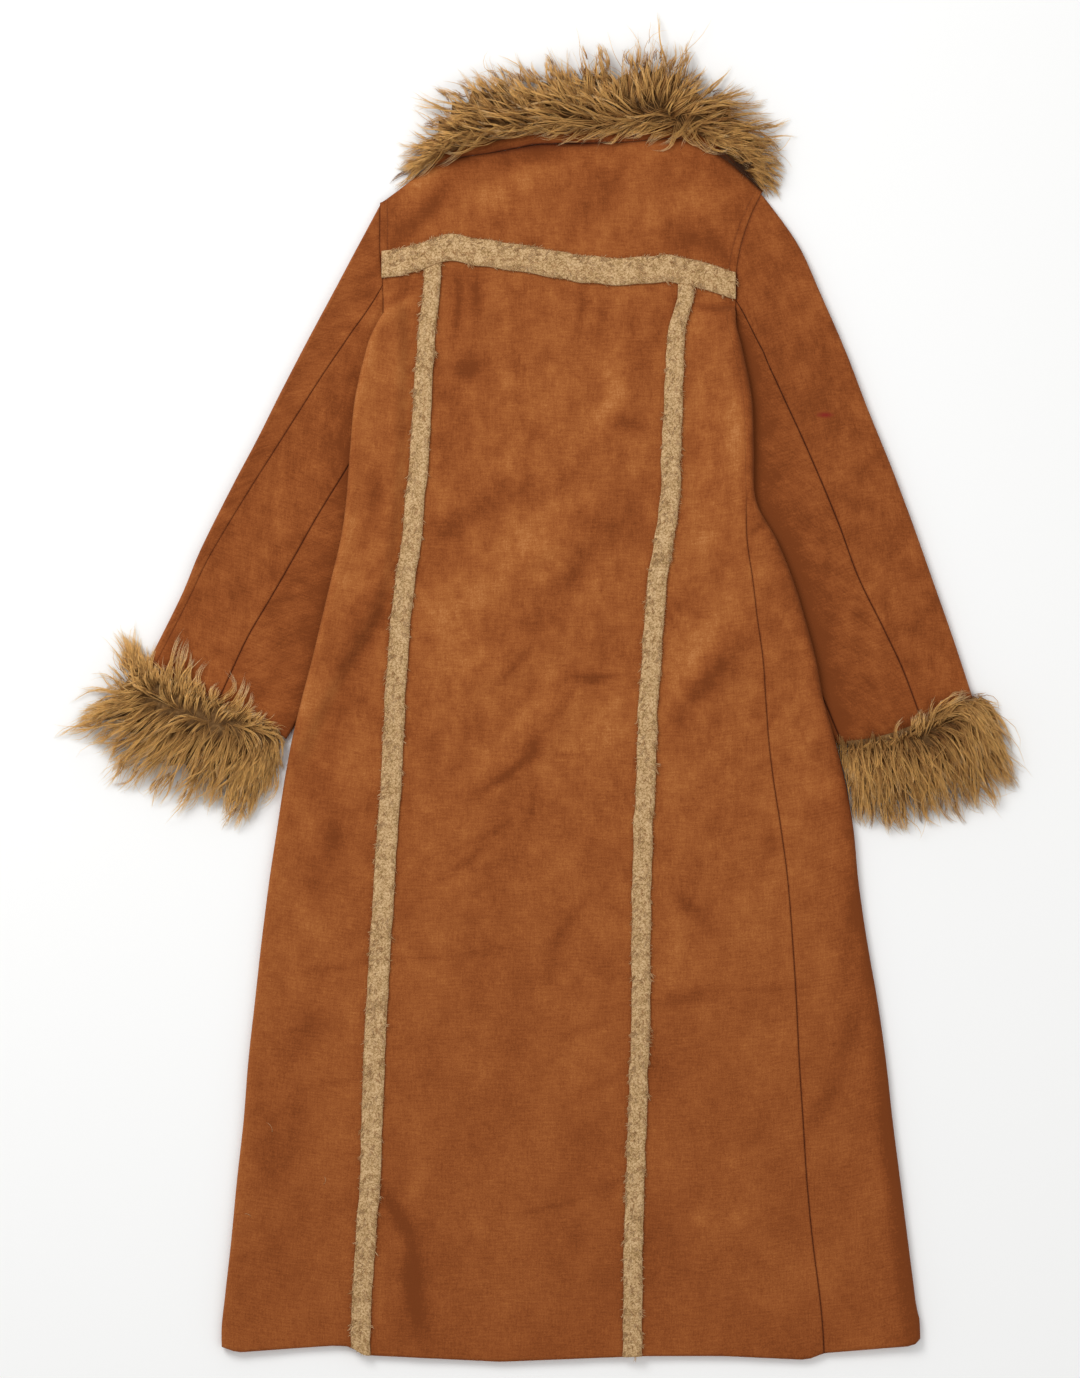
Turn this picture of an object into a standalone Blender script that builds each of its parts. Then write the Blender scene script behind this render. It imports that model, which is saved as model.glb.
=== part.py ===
"""Long sherpa coat with a fur collar and fur cuffs, laid flat with its back up.

+X is to the right as the coat is looked down on, +Y towards the collar, and +Z up from the surface
that the coat lies on. The tables and the lengths are in millimetres: `across` is measured from the
middle of the back and `up` from the lowest point of the hem. The origin is on the floor, in the
middle of the whole coat's outline.
"""
import bpy
import numpy as np

MM = 0.001

# Reach of the whole coat
LEFT_REACH = 501
RIGHT_REACH = 506
TOP_REACH = 1406
ORIGIN_ACROSS = (RIGHT_REACH - LEFT_REACH) / 2
ORIGIN_UP = TOP_REACH / 2

# Cloth: suede bonded to its fleece
CLOTH = 2.5
SEAM_GAP = 0.3
LAY_GAP = 2.4
FLAT_HEIGHT = 2 * CLOTH + LAY_GAP
FOLD_HEIGHT = 11.0
FOLD_SOFTNESS = 26.0
SLEEVE_SOFTNESS = 22.0

# The body's sides lie on the sleeves
TUCK_CLEAR = 7.0
RAMP_LEFT = 18.0
RAMP_RIGHT = 36.0

# The front neckline is cut lower than the back's
NECK_DROP = 70.0
NECK_SPREAD = 90.0
SHOULDER_INSET = 3.0
SHOULDER_SHARES = (1.0, 0.66, 0.33)

# Pile strips
STRIP_WIDTH = 21.0
YOKE_STRIP_WIDTH = 29.0
STRIP_HEIGHT = 4.0
STRIP_LIFT = 0.6
STRIP_PROFILE = ((-1.0, 0.55), (-0.55, 1.0), (0.0, 0.85), (0.55, 1.0), (1.0, 0.55))

# Under-collar and fur
STAND_WIDTH = 14.0
STAND_END_WIDTH = 4.0
STAND_RISE = 2.6
STAND_PROFILE = ((0.0, 0.0), (0.3, 0.75), (0.65, 1.0), (1.0, 0.8))
FUR_GAP = 0.4
ROOT_GAP = 1.8
COLLAR_CROWN = 40.0
CUFF_CROWN = 32.0
COLLAR_LIP = 5.0
COLLAR_LIP_END = 2.5
LIP_ENDS = (0.15, 0.85)
CUFF_LIP = 9.0
VALLEY = 0.17
VALLEY_DEPTH = 0.12

# Rows of the flat grids
FLAT_STOPS = np.linspace(0.0, 1.0, 6)
CENTRE_STOPS = np.linspace(0.0, 1.0, 10)
ARC = np.radians([45.0, 0.0, -45.0, -90.0])
MIDDLE_STOPS = 4
UNDER_STOPS = 6
WRAP_STOPS = 4
LEFT_UNDER = len(FLAT_STOPS) - 1 + MIDDLE_STOPS
RIGHT_UNDER = UNDER_STOPS + MIDDLE_STOPS
SLEEVE_STOPS = 7
SLEEVE_FLOOR_STOPS = 5
SLEEVE_INNER_STOPS = 4
SLEEVE_UNDER_STOPS = 6
YOKE_FALLS = np.linspace(0.0, 1.0, 6)
OPEN_ROWS = 3

SUEDE = (0.262, 0.080, 0.024)
SUEDE_UNDER = (0.240, 0.072, 0.021)
FUR = (0.300, 0.155, 0.048)
PILE = (0.400, 0.245, 0.118)
SUEDE_ROUGHNESS = 0.9
FUR_ROUGHNESS = 0.8
PILE_ROUGHNESS = 0.95
CREASE_ANGLE = 45


def named(columns, rows):
    """One array for each named column of a table."""
    return dict(zip(columns.split(), np.array(rows, dtype=float).T))


# Body, a row for each section from the yoke seam to the hem. `seam_in` is how far the right side seam
# lies in from the right fold, `tuck` how far a sleeve reaches under the side, `lift` how high the side
# rides over it.
BODY = named(
    "up left strip_left strip_right seam_in right tuck_left tuck_right lift",
    [
        (1143, -164, -113, 153, 0, 207, 0, 0, 0),
        (1128, -164, -113, 153, 0, 207, 0, 0, 0),
        (1114, -164, -114, 152, 0, 206, 0, 0, 0),
        (1100, -164, -116, 148, 9, 205, 4, 4, 8.2),
        (1085, -173, -118, 144, 9, 206, 14, 8, 8.2),
        (1062, -182, -120, 142, 9, 212, 24, 13, 8.2),
        (1009, -194, -123, 140, 9, 222, 34, 18, 8.2),
        (957, -199, -126, 138, 9, 224, 38, 20, 8.2),
        (904, -203, -131, 136, 10, 226, 39, 21, 8.2),
        (862, -209, -135, 130, 31, 248, 40, 30, 8.2),
        (820, -219, -141, 123, 42, 265, 42, 36, 8.2),
        (778, -229, -146, 120, 50, 278, 37, 36, 8.2),
        (736, -239, -149, 117, 55, 289, 24, 28, 8.2),
        (694, -250, -152, 114, 60, 297, 12, 17, 8.2),
        (652, -260, -154, 112, 69, 309, 3, 5, 8.2),
        (610, -268, -156, 111, 75, 320, 0, 0, 0),
        (558, -276, -160, 108, 76, 329, 0, 0, 0),
        (505, -284, -163, 107, 74, 334, 0, 0, 0),
        (442, -292, -167, 106, 78, 343, 0, 0, 0),
        (379, -299, -171, 106, 85, 354, 0, 0, 0),
        (316, -306, -174, 104, 91, 363, 0, 0, 0),
        (253, -311, -176, 102, 94, 370, 0, 0, 0),
        (190, -318, -178, 100, 98, 378, 0, 0, 0),
        (127, -324, -183, 98, 100, 386, 0, 0, 0),
        (64, -331, -187, 97, 100, 394, 0, 0, 0),
        (26, -334, -188, 97, 101, 398, 0, 0, 0),
        (4, -334, -188, 97, 101, 399, 0, 0, 0),
    ],
)
ROWS = len(BODY["up"])

YOKE_SEAM = named(
    "across up",
    [
        (-168, 1150), (-153, 1154), (-125, 1160), (-98, 1170),
        (-63, 1164), (21, 1148), (105, 1145), (204, 1131),
    ],
)
NECK = named(
    "across up",
    [
        (-167, 1214), (-139, 1235), (-118, 1253), (-85, 1263), (-50, 1268), (-3, 1277),
        (91, 1279), (145, 1284), (176, 1273), (195, 1259), (224, 1237), (233, 1226),
    ],
)
HEM = named(
    "across up",
    [
        (-334, 16), (-317, 10), (-216, 17), (-198, 16), (-185, 7), (-42, 0),
        (109, 6), (192, 6), (280, 2), (298, 9), (394, 17), (399, 27),
    ],
)
# Armholes: nearly straight on the left, and bowed out towards the shoulder on the right
ARMHOLE_LEFT = named("up across", [(988, -160), (1100, -164), (1135, -165), (1166, -168), (1226, -168)])
ARMHOLE_RIGHT = named("up across", [(1004, 203), (1128, 205.5), (1226, 205.5)])
ARMHOLE_GAP = 0.8
SHOULDER_BOW = 27.5
BOW_START = 1128.0
BOW_LENGTH = 98.0

# Largest soft folds of the back: the ridge's middle, direction, half length, half width and height
FOLDS = named(
    "across up angle length width height",
    [
        (24, 857, 35, 60, 22, 3.6),
        (-32, 733, 32, 42, 18, 2.6),
        (16, 677, 56, 48, 17, 2.8),
        (-38, 613, 35, 34, 16, 2.2),
        (175, 720, 50, 56, 24, 3.6),
        (-168, 795, 58, 50, 20, 3.0),
        (-76, 1108, 88, 44, 14, 2.4),
        (-60, 1100, 84, 32, 10, 2.0),
        (90, 1010, 80, 60, 26, 2.4),
    ],
)

# Sleeves, a row for each line across from the outer fold to the inner one. `back` and `front` are the
# distances of the two seams from the outer fold, `fold` the height of the outer fold.
SLEEVE_COLUMNS = "outer_across outer_up inner_across inner_up back front fold"
SLEEVE_LEFT = named(
    SLEEVE_COLUMNS,
    [
        (-168, 1213, -160, 988, 84, 178, 7.4),
        (-197, 1159, -159, 966, 63, 149, 9.5),
        (-215, 1125, -162, 938, 52, 139, 10.5),
        (-245, 1069, -165, 893, 39, 126, 11.0),
        (-273, 1015, -170, 853, 30, 112, 11.0),
        (-297, 967, -178, 818, 23, 102, 11.0),
        (-323, 918, -192, 784, 18, 97, 11.0),
        (-356, 852, -214, 741, 12, 90, 11.0),
        (-377, 802, -238, 699, 9, 83, 10.5),
        (-415, 726, -266, 653, 8, 84, 10.5),
    ],
)
SLEEVE_RIGHT = named(
    SLEEVE_COLUMNS,
    [
        (233, 1225, 203, 1004, 129, 212, 7.4),
        (270, 1173, 204, 962, 119, 209, 9.5),
        (294, 1121, 205, 923, 107, 206, 10.5),
        (321, 1059, 212, 883, 95, 195, 11.0),
        (344, 999, 223, 839, 86, 189, 11.0),
        (368, 940, 237, 793, 82, 184, 11.0),
        (391, 879, 257, 747, 80, 176, 11.0),
        (414, 814, 280, 701, 70, 162, 11.0),
        (434, 757, 297, 671, 62, 149, 10.5),
        (455, 693, 312, 647, 58, 140, 10.5),
    ],
)

# Fur, a row for each lock: its root's place along the seam, from 0 to 1, and its tip
COLLAR_BASE = (-118.0, 218.0)
COLLAR_LOCKS = named(
    "root across up",
    [
        (0.00, -149, 1234), (0.03, -158, 1253), (0.07, -132, 1282), (0.12, -127, 1316),
        (0.18, -111, 1343), (0.24, -89, 1360), (0.31, -59, 1371), (0.37, -36, 1363),
        (0.42, -10, 1369), (0.47, 7, 1382), (0.52, 43, 1399), (0.57, 62, 1394),
        (0.61, 92, 1381), (0.65, 119, TOP_REACH), (0.69, 136, 1393), (0.73, 156, 1383),
        (0.77, 172, 1353), (0.81, 220, 1335), (0.86, 248, 1298), (0.90, 256, 1279),
        (0.94, 258, 1258), (0.97, 255, 1240), (1.00, 247, 1219),
    ],
)
CUFF_LEFT_LOCKS = named(
    "root across up",
    [
        (-0.05, -428, 757), (-0.02, -441, 746), (0.03, -450, 730), (0.11, -474, 694),
        (0.16, -499, 672), (0.21, -LEFT_REACH, 654), (0.28, -466, 644), (0.35, -461, 611),
        (0.43, -440, 602), (0.50, -416, 596), (0.58, -383, 572), (0.66, -354, 589),
        (0.73, -332, 564), (0.80, -318, 559), (0.86, -303, 576), (0.91, -288, 600),
        (0.95, -274, 629),
    ],
)
CUFF_RIGHT_LOCKS = named(
    "root across up",
    [
        (-0.01, 468, 699), (0.05, 484, 677), (0.10, 497, 651), (0.16, RIGHT_REACH, 620),
        (0.23, 502, 601), (0.31, 482, 586), (0.38, 465, 580), (0.46, 447, 569),
        (0.55, 423, 565), (0.62, 404, 569), (0.70, 386, 559), (0.78, 366, 556),
        (0.85, 346, 564), (0.90, 335, 574), (0.93, 328, 605),
    ],
)

# Along a lock: place from root to tip, height of the top as a share of the crown, and whether the
# underside lies on the floor
FUR_PROFILE = named(
    "place rise on_floor",
    [
        (0.00, 0.62, 1), (0.15, 0.86, 1), (0.34, 1.00, 1), (0.55, 0.86, 1),
        (0.76, 0.52, 1), (0.90, 0.24, 1), (1.00, 0.10, 0),
    ],
)
TIP_UNDERSIDE = 1.2
TIP_THICKNESS = 2.2
TAPER_LOCKS = 4
END_HEIGHT = 0.4
ROOT_STEP = 3.0


def ease(share):
    """Soft step from 1 down to 0 as the share goes from 0 to 1."""
    return 0.5 + 0.5 * np.cos(np.pi * np.clip(share, 0.0, 1.0))


def curve(table, across):
    """Height up of a seam or an edge at a place across."""
    return np.interp(across, table["across"], table["up"])


def place(points):
    """Millimetres from the middle of the back and the hem, turned to metres from the origin."""
    return (np.asarray(points) - (ORIGIN_ACROSS, ORIGIN_UP, 0.0)) * MM


def material(name, colour, roughness):
    """Plain material in the piece's own colour."""
    made = bpy.data.materials.new(name)
    made.use_nodes = True
    shader = made.node_tree.nodes["Principled BSDF"]
    shader.inputs["Base Color"].default_value = (*colour, 1.0)
    shader.inputs["Roughness"].default_value = roughness
    shader.inputs["Metallic"].default_value = 0.0
    return made


def shell(name, outer, inner, colour, roughness, keep=None):
    """Closes two matching grids of points into one solid, with a rim round the quads that are kept."""
    rows, columns = outer.shape[:2]
    count = rows * columns
    index = np.arange(count).reshape(rows, columns)
    corners = (index[:-1, :-1], index[:-1, 1:], index[1:, 1:], index[1:, :-1])
    quads = np.stack(corners, axis=-1)
    if keep is None:
        keep = np.ones((rows - 1, columns - 1), dtype=bool)
    face = quads[keep]
    edges = np.concatenate([face[:, [side, (side + 1) % 4]] for side in range(4)]).tolist()
    used = {tuple(edge) for edge in edges}
    rim = [(b, a, a + count, b + count) for a, b in sorted(used) if (b, a) not in used]
    faces = face.tolist() + (face[:, ::-1] + count).tolist() + rim
    points = place(np.concatenate([outer.reshape(-1, 3), inner.reshape(-1, 3)]))
    needed = np.unique(np.concatenate([np.ravel(one) for one in faces]))
    number = np.full(2 * count, -1)
    number[needed] = np.arange(len(needed))
    faces = [[int(number[corner]) for corner in one] for one in faces]
    if volume(points[needed], faces) < 0:
        faces = [one[::-1] for one in faces]
    mesh = bpy.data.meshes.new(name)
    mesh.from_pydata(points[needed].tolist(), [], faces)
    mesh.shade_smooth()
    mesh.set_sharp_from_angle(angle=np.radians(CREASE_ANGLE))
    mesh.materials.append(material(name, colour, roughness))
    made = bpy.data.objects.new(name, mesh)
    bpy.context.scene.collection.objects.link(made)
    return made


def volume(points, faces):
    """Signed volume of a closed set of quads, positive when they face outwards."""
    a, b, c, d = (points[[one[corner] for one in faces]] for corner in range(4))
    halves = np.sum(a * np.cross(b, c)) + np.sum(a * np.cross(c, d))
    return halves / 6


def cloth(name, outer, normal, colour=SUEDE, keep=None):
    """A cloth wall: the outer grid, and the same grid moved in by the cloth's thickness."""
    return shell(name, outer, outer - CLOTH * normal, colour, SUEDE_ROUGHNESS, keep)


def shut(row):
    """1 where the side is a fold, 0 beside an armhole."""
    return 0.0 if row < OPEN_ROWS else 1.0


def fold_height(row):
    return FLAT_HEIGHT + shut(row) * (FOLD_HEIGHT - FLAT_HEIGHT)


def fold_radius(row):
    return fold_height(row) / 2 if row >= OPEN_ROWS else 0.0


def armhole(up, side):
    """Place across of an armhole's seam, half a gap in on the body's side."""
    table = ARMHOLE_LEFT if side < 0 else ARMHOLE_RIGHT
    across = np.interp(up, table["up"], table["across"])
    if side > 0:
        across = across + SHOULDER_BOW * np.clip((up - BOW_START) / BOW_LENGTH, 0.0, None) ** 2
    return across


def edge(row, side):
    """Place across of a side: the fold, or the armhole in the open rows."""
    across = BODY["left" if side < 0 else "right"][row]
    if row >= OPEN_ROWS:
        return across
    return armhole(row_up(row, across), side) - side * ARMHOLE_GAP / 2


def soft_folds(across, up):
    """Height of the back's soft folds, each a long rounded ridge."""
    total = np.zeros_like(across)
    for middle_across, middle_up, angle, length, width, height in zip(*FOLDS.values()):
        turn = np.radians(angle)
        along = (across - middle_across) * np.cos(turn) + (up - middle_up) * np.sin(turn)
        aside = (up - middle_up) * np.cos(turn) - (across - middle_across) * np.sin(turn)
        total += height * np.exp(-((along / length) ** 2) - (aside / width) ** 2)
    return total


def lower(row, across):
    """Underside of the body: on the floor, or on the sleeve that is tucked under a side."""
    from_left = across - BODY["left"][row] - BODY["tuck_left"][row] - TUCK_CLEAR
    from_right = BODY["right"][row] - across - BODY["tuck_right"][row] - TUCK_CLEAR
    return BODY["lift"][row] * (ease(from_left / RAMP_LEFT) + ease(from_right / RAMP_RIGHT))


def upper(row, across, up):
    """Top of the body: the two layers, the air between them and the soft folds."""
    nearest = np.minimum(across - BODY["left"][row], BODY["right"][row] - across)
    swell = (fold_height(row) - FLAT_HEIGHT) * np.exp(-np.clip(nearest, 0, None) / FOLD_SOFTNESS)
    return lower(row, across) + FLAT_HEIGHT + swell + shut(row) * soft_folds(across, up)


def row_up(row, across):
    """Height up of a row: the first rows follow the yoke seam, the last ones the hem."""
    if row == 0:
        return curve(YOKE_SEAM, across) - SEAM_GAP / 2
    if row == 1:
        return curve(YOKE_SEAM, across) - YOKE_STRIP_WIDTH / 2
    if row == 2:
        return (row_up(1, across) + BODY["up"][3]) / 2
    if row == ROWS - 1:
        return curve(HEM, across)
    if row == ROWS - 2:
        return curve(HEM, across) + BODY["up"][row] - BODY["up"][row + 1]
    return np.full_like(across, BODY["up"][row])


def left_stops(row):
    """Places across the left side, from the fold to the strip's seam."""
    start = edge(row, -1) + fold_radius(row)
    strip = BODY["strip_left"][row]
    return np.append(start + FLAT_STOPS * (strip - STRIP_WIDTH / 2 - start), strip)


def right_stops(row):
    """Places across the right side, from the strip's seam to the side seam."""
    strip = BODY["strip_right"][row]
    start = strip + STRIP_WIDTH / 2
    return np.append(strip, start + FLAT_STOPS * (side_seam(row) - start))


def side_seam(row):
    """Place across of the right side seam, at the armhole's edge in the open rows."""
    return edge(row, 1) - max(BODY["seam_in"][row], fold_radius(row))


def centre_stops(row):
    """Places across the middle, from strip seam to strip seam."""
    left = BODY["strip_left"][row]
    right = BODY["strip_right"][row]
    inner = left + STRIP_WIDTH / 2 + CENTRE_STOPS * (right - left - STRIP_WIDTH)
    return np.concatenate([[left], inner, [right]])


def centre_front(row):
    return (BODY["left"][row] + BODY["right"][row]) / 2


def flat_points(row, across, top=True):
    """Points and outward normals of a row on the top or the underside of the body."""
    up = row_up(row, across)
    height = upper(row, across, up) if top else lower(row, across)
    points = np.stack([across, up, height], axis=-1)
    normal = np.zeros_like(points)
    normal[:, 2] = 1.0 if top else -1.0
    return points, normal


def fold_points(row, side):
    """Points and normals round a side fold, from just below the top to the underside."""
    radius = fold_radius(row)
    middle = edge(row, side) - side * radius
    across = middle + side * radius * np.cos(ARC)
    up = row_up(row, across)
    ends = np.array([middle])
    low = lower(row, ends)[0]
    high = upper(row, ends, row_up(row, ends))[0]
    height = (low + high) / 2 + (high - low) / 2 * np.sin(ARC)
    normal = np.stack([side * np.cos(ARC), np.zeros(len(ARC)), np.sin(ARC)], axis=-1)
    return np.stack([across, up, height], axis=-1), normal


def join(*pieces):
    """One row from several stretches of points and normals."""
    return tuple(np.concatenate(part) for part in zip(*pieces))


def stack(rows):
    """A grid from its rows of points and normals."""
    return tuple(np.stack(part) for part in zip(*rows))


def split_at(row, across, low_side, top=True):
    """A seam's own edge, half a gap to one side of its line."""
    return flat_points(row, np.array([across + low_side * SEAM_GAP / 2]), top)


def back_left():
    """Left back panel: from the left strip's seam, round the fold, to the hidden side seam."""
    rows = []
    for row in range(ROWS):
        stops = left_stops(row)
        flat = flat_points(row, stops[-2::-1])
        seam = split_at(row, stops[-1], -1)
        hidden = split_at(row, stops[1], -1, top=False)
        rows.append(join(seam, flat, fold_points(row, -1), hidden))
    outer, normal = stack(rows)
    keep = np.ones((ROWS - 1, outer.shape[1] - 1), dtype=bool)
    keep[:OPEN_ROWS, len(FLAT_STOPS):] = False
    return cloth("back_left", outer, normal, keep=keep)


def back_centre():
    """Centre back panel, between the seams of the two long strips."""
    rows = []
    for row in range(ROWS):
        stops = centre_stops(row)
        inner = flat_points(row, stops[1:-1])
        rows.append(join(split_at(row, stops[0], 1), inner, split_at(row, stops[-1], -1)))
    return cloth("back_centre", *stack(rows))


def back_right():
    """Right back panel, from the right strip's seam to the side seam."""
    rows = []
    for row in range(ROWS):
        stops = right_stops(row)
        inner = flat_points(row, stops[1:-1])
        rows.append(join(split_at(row, stops[0], 1), inner, split_at(row, stops[-1], -1)))
    return cloth("back_right", *stack(rows))


def front_left():
    """Left front, underneath, from the hidden side seam to the centre front."""
    rows = [front_shoulder(share, -1) for share in SHOULDER_SHARES]
    for row in range(ROWS):
        stops = left_stops(row)
        first = stops[0] if row < OPEN_ROWS else stops[1] + SEAM_GAP / 2
        middle = np.linspace(stops[-1], centre_front(row) - SEAM_GAP / 2, MIDDLE_STOPS)
        rows.append(flat_points(row, np.concatenate([[first], stops[2:-1], middle]), top=False))
    return cloth("front_left", *stack(rows), colour=SUEDE_UNDER)


def front_right():
    """Right front: from the side seam on top, round the fold, and underneath to the centre front."""
    spare = WRAP_STOPS + len(ARC) - 1
    rows = []
    for share in SHOULDER_SHARES:
        points, normal = front_shoulder(share, 1)
        beside = np.repeat(points[:1], spare, axis=0), np.repeat(normal[:1], spare, axis=0)
        rows.append(join(beside, (points, normal)))
    for row in range(ROWS):
        start = edge(row, 1) - fold_radius(row)
        seam = side_seam(row) + SEAM_GAP / 2
        top = flat_points(row, np.linspace(seam, start, WRAP_STOPS))
        stops = right_stops(row)
        under = np.append(np.linspace(start, stops[1], UNDER_STOPS)[1:], stops[0])
        middle = np.linspace(stops[0], centre_front(row) + SEAM_GAP / 2, MIDDLE_STOPS)[1:]
        bottom = flat_points(row, np.concatenate([under, middle]), top=False)
        rows.append(join(top, fold_points(row, 1), bottom))
    outer, normal = stack(rows)
    keep = np.ones((len(rows) - 1, outer.shape[1] - 1), dtype=bool)
    keep[:OPEN_ROWS + len(SHOULDER_SHARES), :spare] = False
    return cloth("front_right", outer, normal, SUEDE_UNDER, keep)


def front_shoulder(share, side):
    """A row of a front above the yoke seam; its neckline is cut lower than the back's."""
    middle = centre_front(0)
    share_across = np.linspace(0.0, 1.0, LEFT_UNDER if side < 0 else RIGHT_UNDER)
    shoulder = NECK["up"][0 if side < 0 else -1]
    start = armhole(BODY["up"][0] + share * (shoulder - BODY["up"][0]), side)
    start = start - side * (ARMHOLE_GAP + SHOULDER_INSET * share)
    across = start + share_across * (middle + side * SEAM_GAP / 2 - start)
    low = curve(YOKE_SEAM, across)
    drop = NECK_DROP * np.exp(-(((across - middle) / NECK_SPREAD) ** 2)) + SHOULDER_INSET
    up = low + share * (curve(NECK, across) - drop - low)
    points = np.stack([across, up, np.zeros_like(across)], axis=-1)
    normal = np.zeros_like(points)
    normal[:, 2] = -1.0
    return points, normal


def back_yoke():
    """Suede yoke, from the neck and shoulders to the yoke seam."""
    bottom = yoke_bottom()
    top = yoke_top()
    rows = []
    for fall in YOKE_FALLS:
        across = top + fall * (bottom - top)
        high = curve(NECK, top)
        low = curve(YOKE_SEAM, bottom) + SEAM_GAP / 2
        up = high + fall * (low - high)
        across[0] = armhole(up[0], -1) + ARMHOLE_GAP / 2
        across[-1] = armhole(up[-1], 1) - ARMHOLE_GAP / 2
        points = np.stack([across, up, np.full_like(across, FLAT_HEIGHT)], axis=-1)
        normal = np.zeros_like(points)
        normal[:, 2] = 1.0
        rows.append((points, normal))
    return cloth("back_yoke", *stack(rows))


def yoke_bottom():
    """Places across the yoke seam, the same as those of the panels below it."""
    return np.concatenate([left_stops(0)[:-1], centre_stops(0), right_stops(0)[1:]])


def yoke_top():
    """Places across the neck and shoulders, spaced as those of the yoke seam."""
    bottom = yoke_bottom()
    share = (bottom - bottom[0]) / (bottom[-1] - bottom[0])
    ends = NECK["across"][[0, -1]] + (SEAM_GAP, -SEAM_GAP)
    return ends[0] + share * (ends[1] - ends[0])


def pile_strip(name, under):
    """A pile strip: points of the panel moved out, with a rounded top that dips along the middle."""
    under = under.copy()
    under[..., 2] += STRIP_LIFT
    top = under.copy()
    top[..., 2] += STRIP_HEIGHT * np.array(STRIP_PROFILE)[:, 1]
    return shell(name, top, under, PILE, PILE_ROUGHNESS)


def long_strip(name):
    """A long strip over the back seam of its own name, from the yoke strip to the hem."""
    offsets = np.array(STRIP_PROFILE)[:, 0]
    rows = []
    for row in range(1, ROWS):
        middle = BODY[name][row]
        panel = flat_points(row, middle + STRIP_WIDTH / 2 * np.array([-1.0, 0.0, 1.0]))[0]
        across = middle + STRIP_WIDTH / 2 * offsets
        up = np.interp(across, panel[:, 0], panel[:, 1])
        if row == 1:
            up = up - SEAM_GAP
        height = np.interp(across, panel[:, 0], panel[:, 2])
        rows.append(np.column_stack([across, up, height]))
    return pile_strip(name, np.stack(rows))


def yoke_strip():
    """The strip over the yoke seam, from armhole to armhole."""
    offsets = np.array(STRIP_PROFILE)[:, 0]
    half = YOKE_STRIP_WIDTH / 2 - SEAM_GAP
    across = yoke_bottom()
    rows = []
    for offset in offsets:
        up = curve(YOKE_SEAM, across) + offset * half
        rows.append(np.column_stack([across, up, np.full_like(across, FLAT_HEIGHT)]))
    return pile_strip("strip_yoke", np.stack(rows, axis=1))


def sleeve_rows(table, side):
    """Lines across a sleeve: row number, outer end, direction, width and side."""
    lines = []
    for row in range(len(table["fold"])):
        start = np.array([table["outer_across"][row], table["outer_up"][row]])
        end = np.array([table["inner_across"][row], table["inner_up"][row]])
        width = np.linalg.norm(end - start)
        lines.append((row, start, (end - start) / width, width, side))
    return lines


def sleeve_point(line, distance, height):
    """Points on a station line; the first line follows the armhole."""
    row, start, way, width, side = line
    flat = start + np.asarray(distance)[:, None] * way
    if row == 0:
        flat[:, 0] = armhole(flat[:, 1], side) + side * ARMHOLE_GAP / 2
    return np.column_stack([flat, height])


def sleeve_height(table, line, distance):
    """Top of a laid sleeve, fuller at its outer fold."""
    swell = table["fold"][line[0]] - FLAT_HEIGHT
    return FLAT_HEIGHT + swell * np.exp(-np.asarray(distance) / SLEEVE_SOFTNESS)


def turned(line, along, rise):
    """Normals of a sleeve, given along its line and up."""
    way = line[2]
    return np.column_stack([way[0] * along, way[1] * along, rise])


def sleeve_fold(table, line, inner):
    """Points and normals round one fold of a sleeve, from its top to its underside."""
    width = line[3]
    edge = width if inner else 0.0
    radius = sleeve_height(table, line, [edge])[0] / 2
    way = 1.0 if inner else -1.0
    distance = edge - way * radius + way * radius * np.cos(ARC)
    height = radius + radius * np.sin(ARC)
    return sleeve_point(line, distance, height), turned(line, way * np.cos(ARC), np.sin(ARC)), radius


def sleeve_flat(table, line, start, end, count, top=True):
    """Points and normals of a flat stretch of a sleeve."""
    distance = np.linspace(start, end, count)
    height = sleeve_height(table, line, distance) if top else np.zeros(count)
    rise = np.full(count, 1.0 if top else -1.0)
    return sleeve_point(line, distance, height), turned(line, np.zeros(count), rise)


def sleeve(name, table, side):
    """Both pieces of a sleeve. The top sleeve wraps round both folds, the undersleeve lies between."""
    top_rows = []
    under_rows = []
    for line in sleeve_rows(table, side):
        row = line[0]
        back = table["back"][row]
        front = table["front"][row]
        outer_points, outer_normals, outer_radius = sleeve_fold(table, line, False)
        inner_points, inner_normals, inner_radius = sleeve_fold(table, line, True)
        width = line[3]
        half = SEAM_GAP / 2
        top_rows.append(join(
            sleeve_flat(table, line, back - half, outer_radius, SLEEVE_STOPS),
            (outer_points, outer_normals),
            sleeve_flat(table, line, outer_radius, width - inner_radius, SLEEVE_FLOOR_STOPS, top=False),
            (inner_points[-2::-1], inner_normals[-2::-1]),
            sleeve_flat(table, line, width - inner_radius, front + half, SLEEVE_INNER_STOPS),
        ))
        under_rows.append(sleeve_flat(table, line, back + half, front - half, SLEEVE_UNDER_STOPS))
    outer, normal = stack(drop_twins(top_rows, SLEEVE_STOPS + len(ARC)))
    cloth(f"{name}_top", outer, normal)
    cloth(f"{name}_under", *stack(under_rows))


def drop_twins(rows, twin):
    """Leaves out the point that the fold's end and the flat underside share."""
    return [tuple(np.delete(part, twin, axis=0) for part in row) for row in rows]


def collar_stand():
    """Suede under-collar: a low band along the neckline that rises towards the fur."""
    across = yoke_top()
    across = across[(across > COLLAR_BASE[0]) & (across < COLLAR_BASE[1])]
    rows = []
    for share, rise in STAND_PROFILE:
        up = curve(NECK, across) + SEAM_GAP + share * stand_width(across)
        points = np.stack([across, up, FLAT_HEIGHT + rise * STAND_RISE + np.zeros_like(across)], axis=-1)
        normal = np.zeros_like(points)
        normal[:, 2] = 1.0
        rows.append((points, normal))
    return cloth("collar_stand", *stack(rows))


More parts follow.
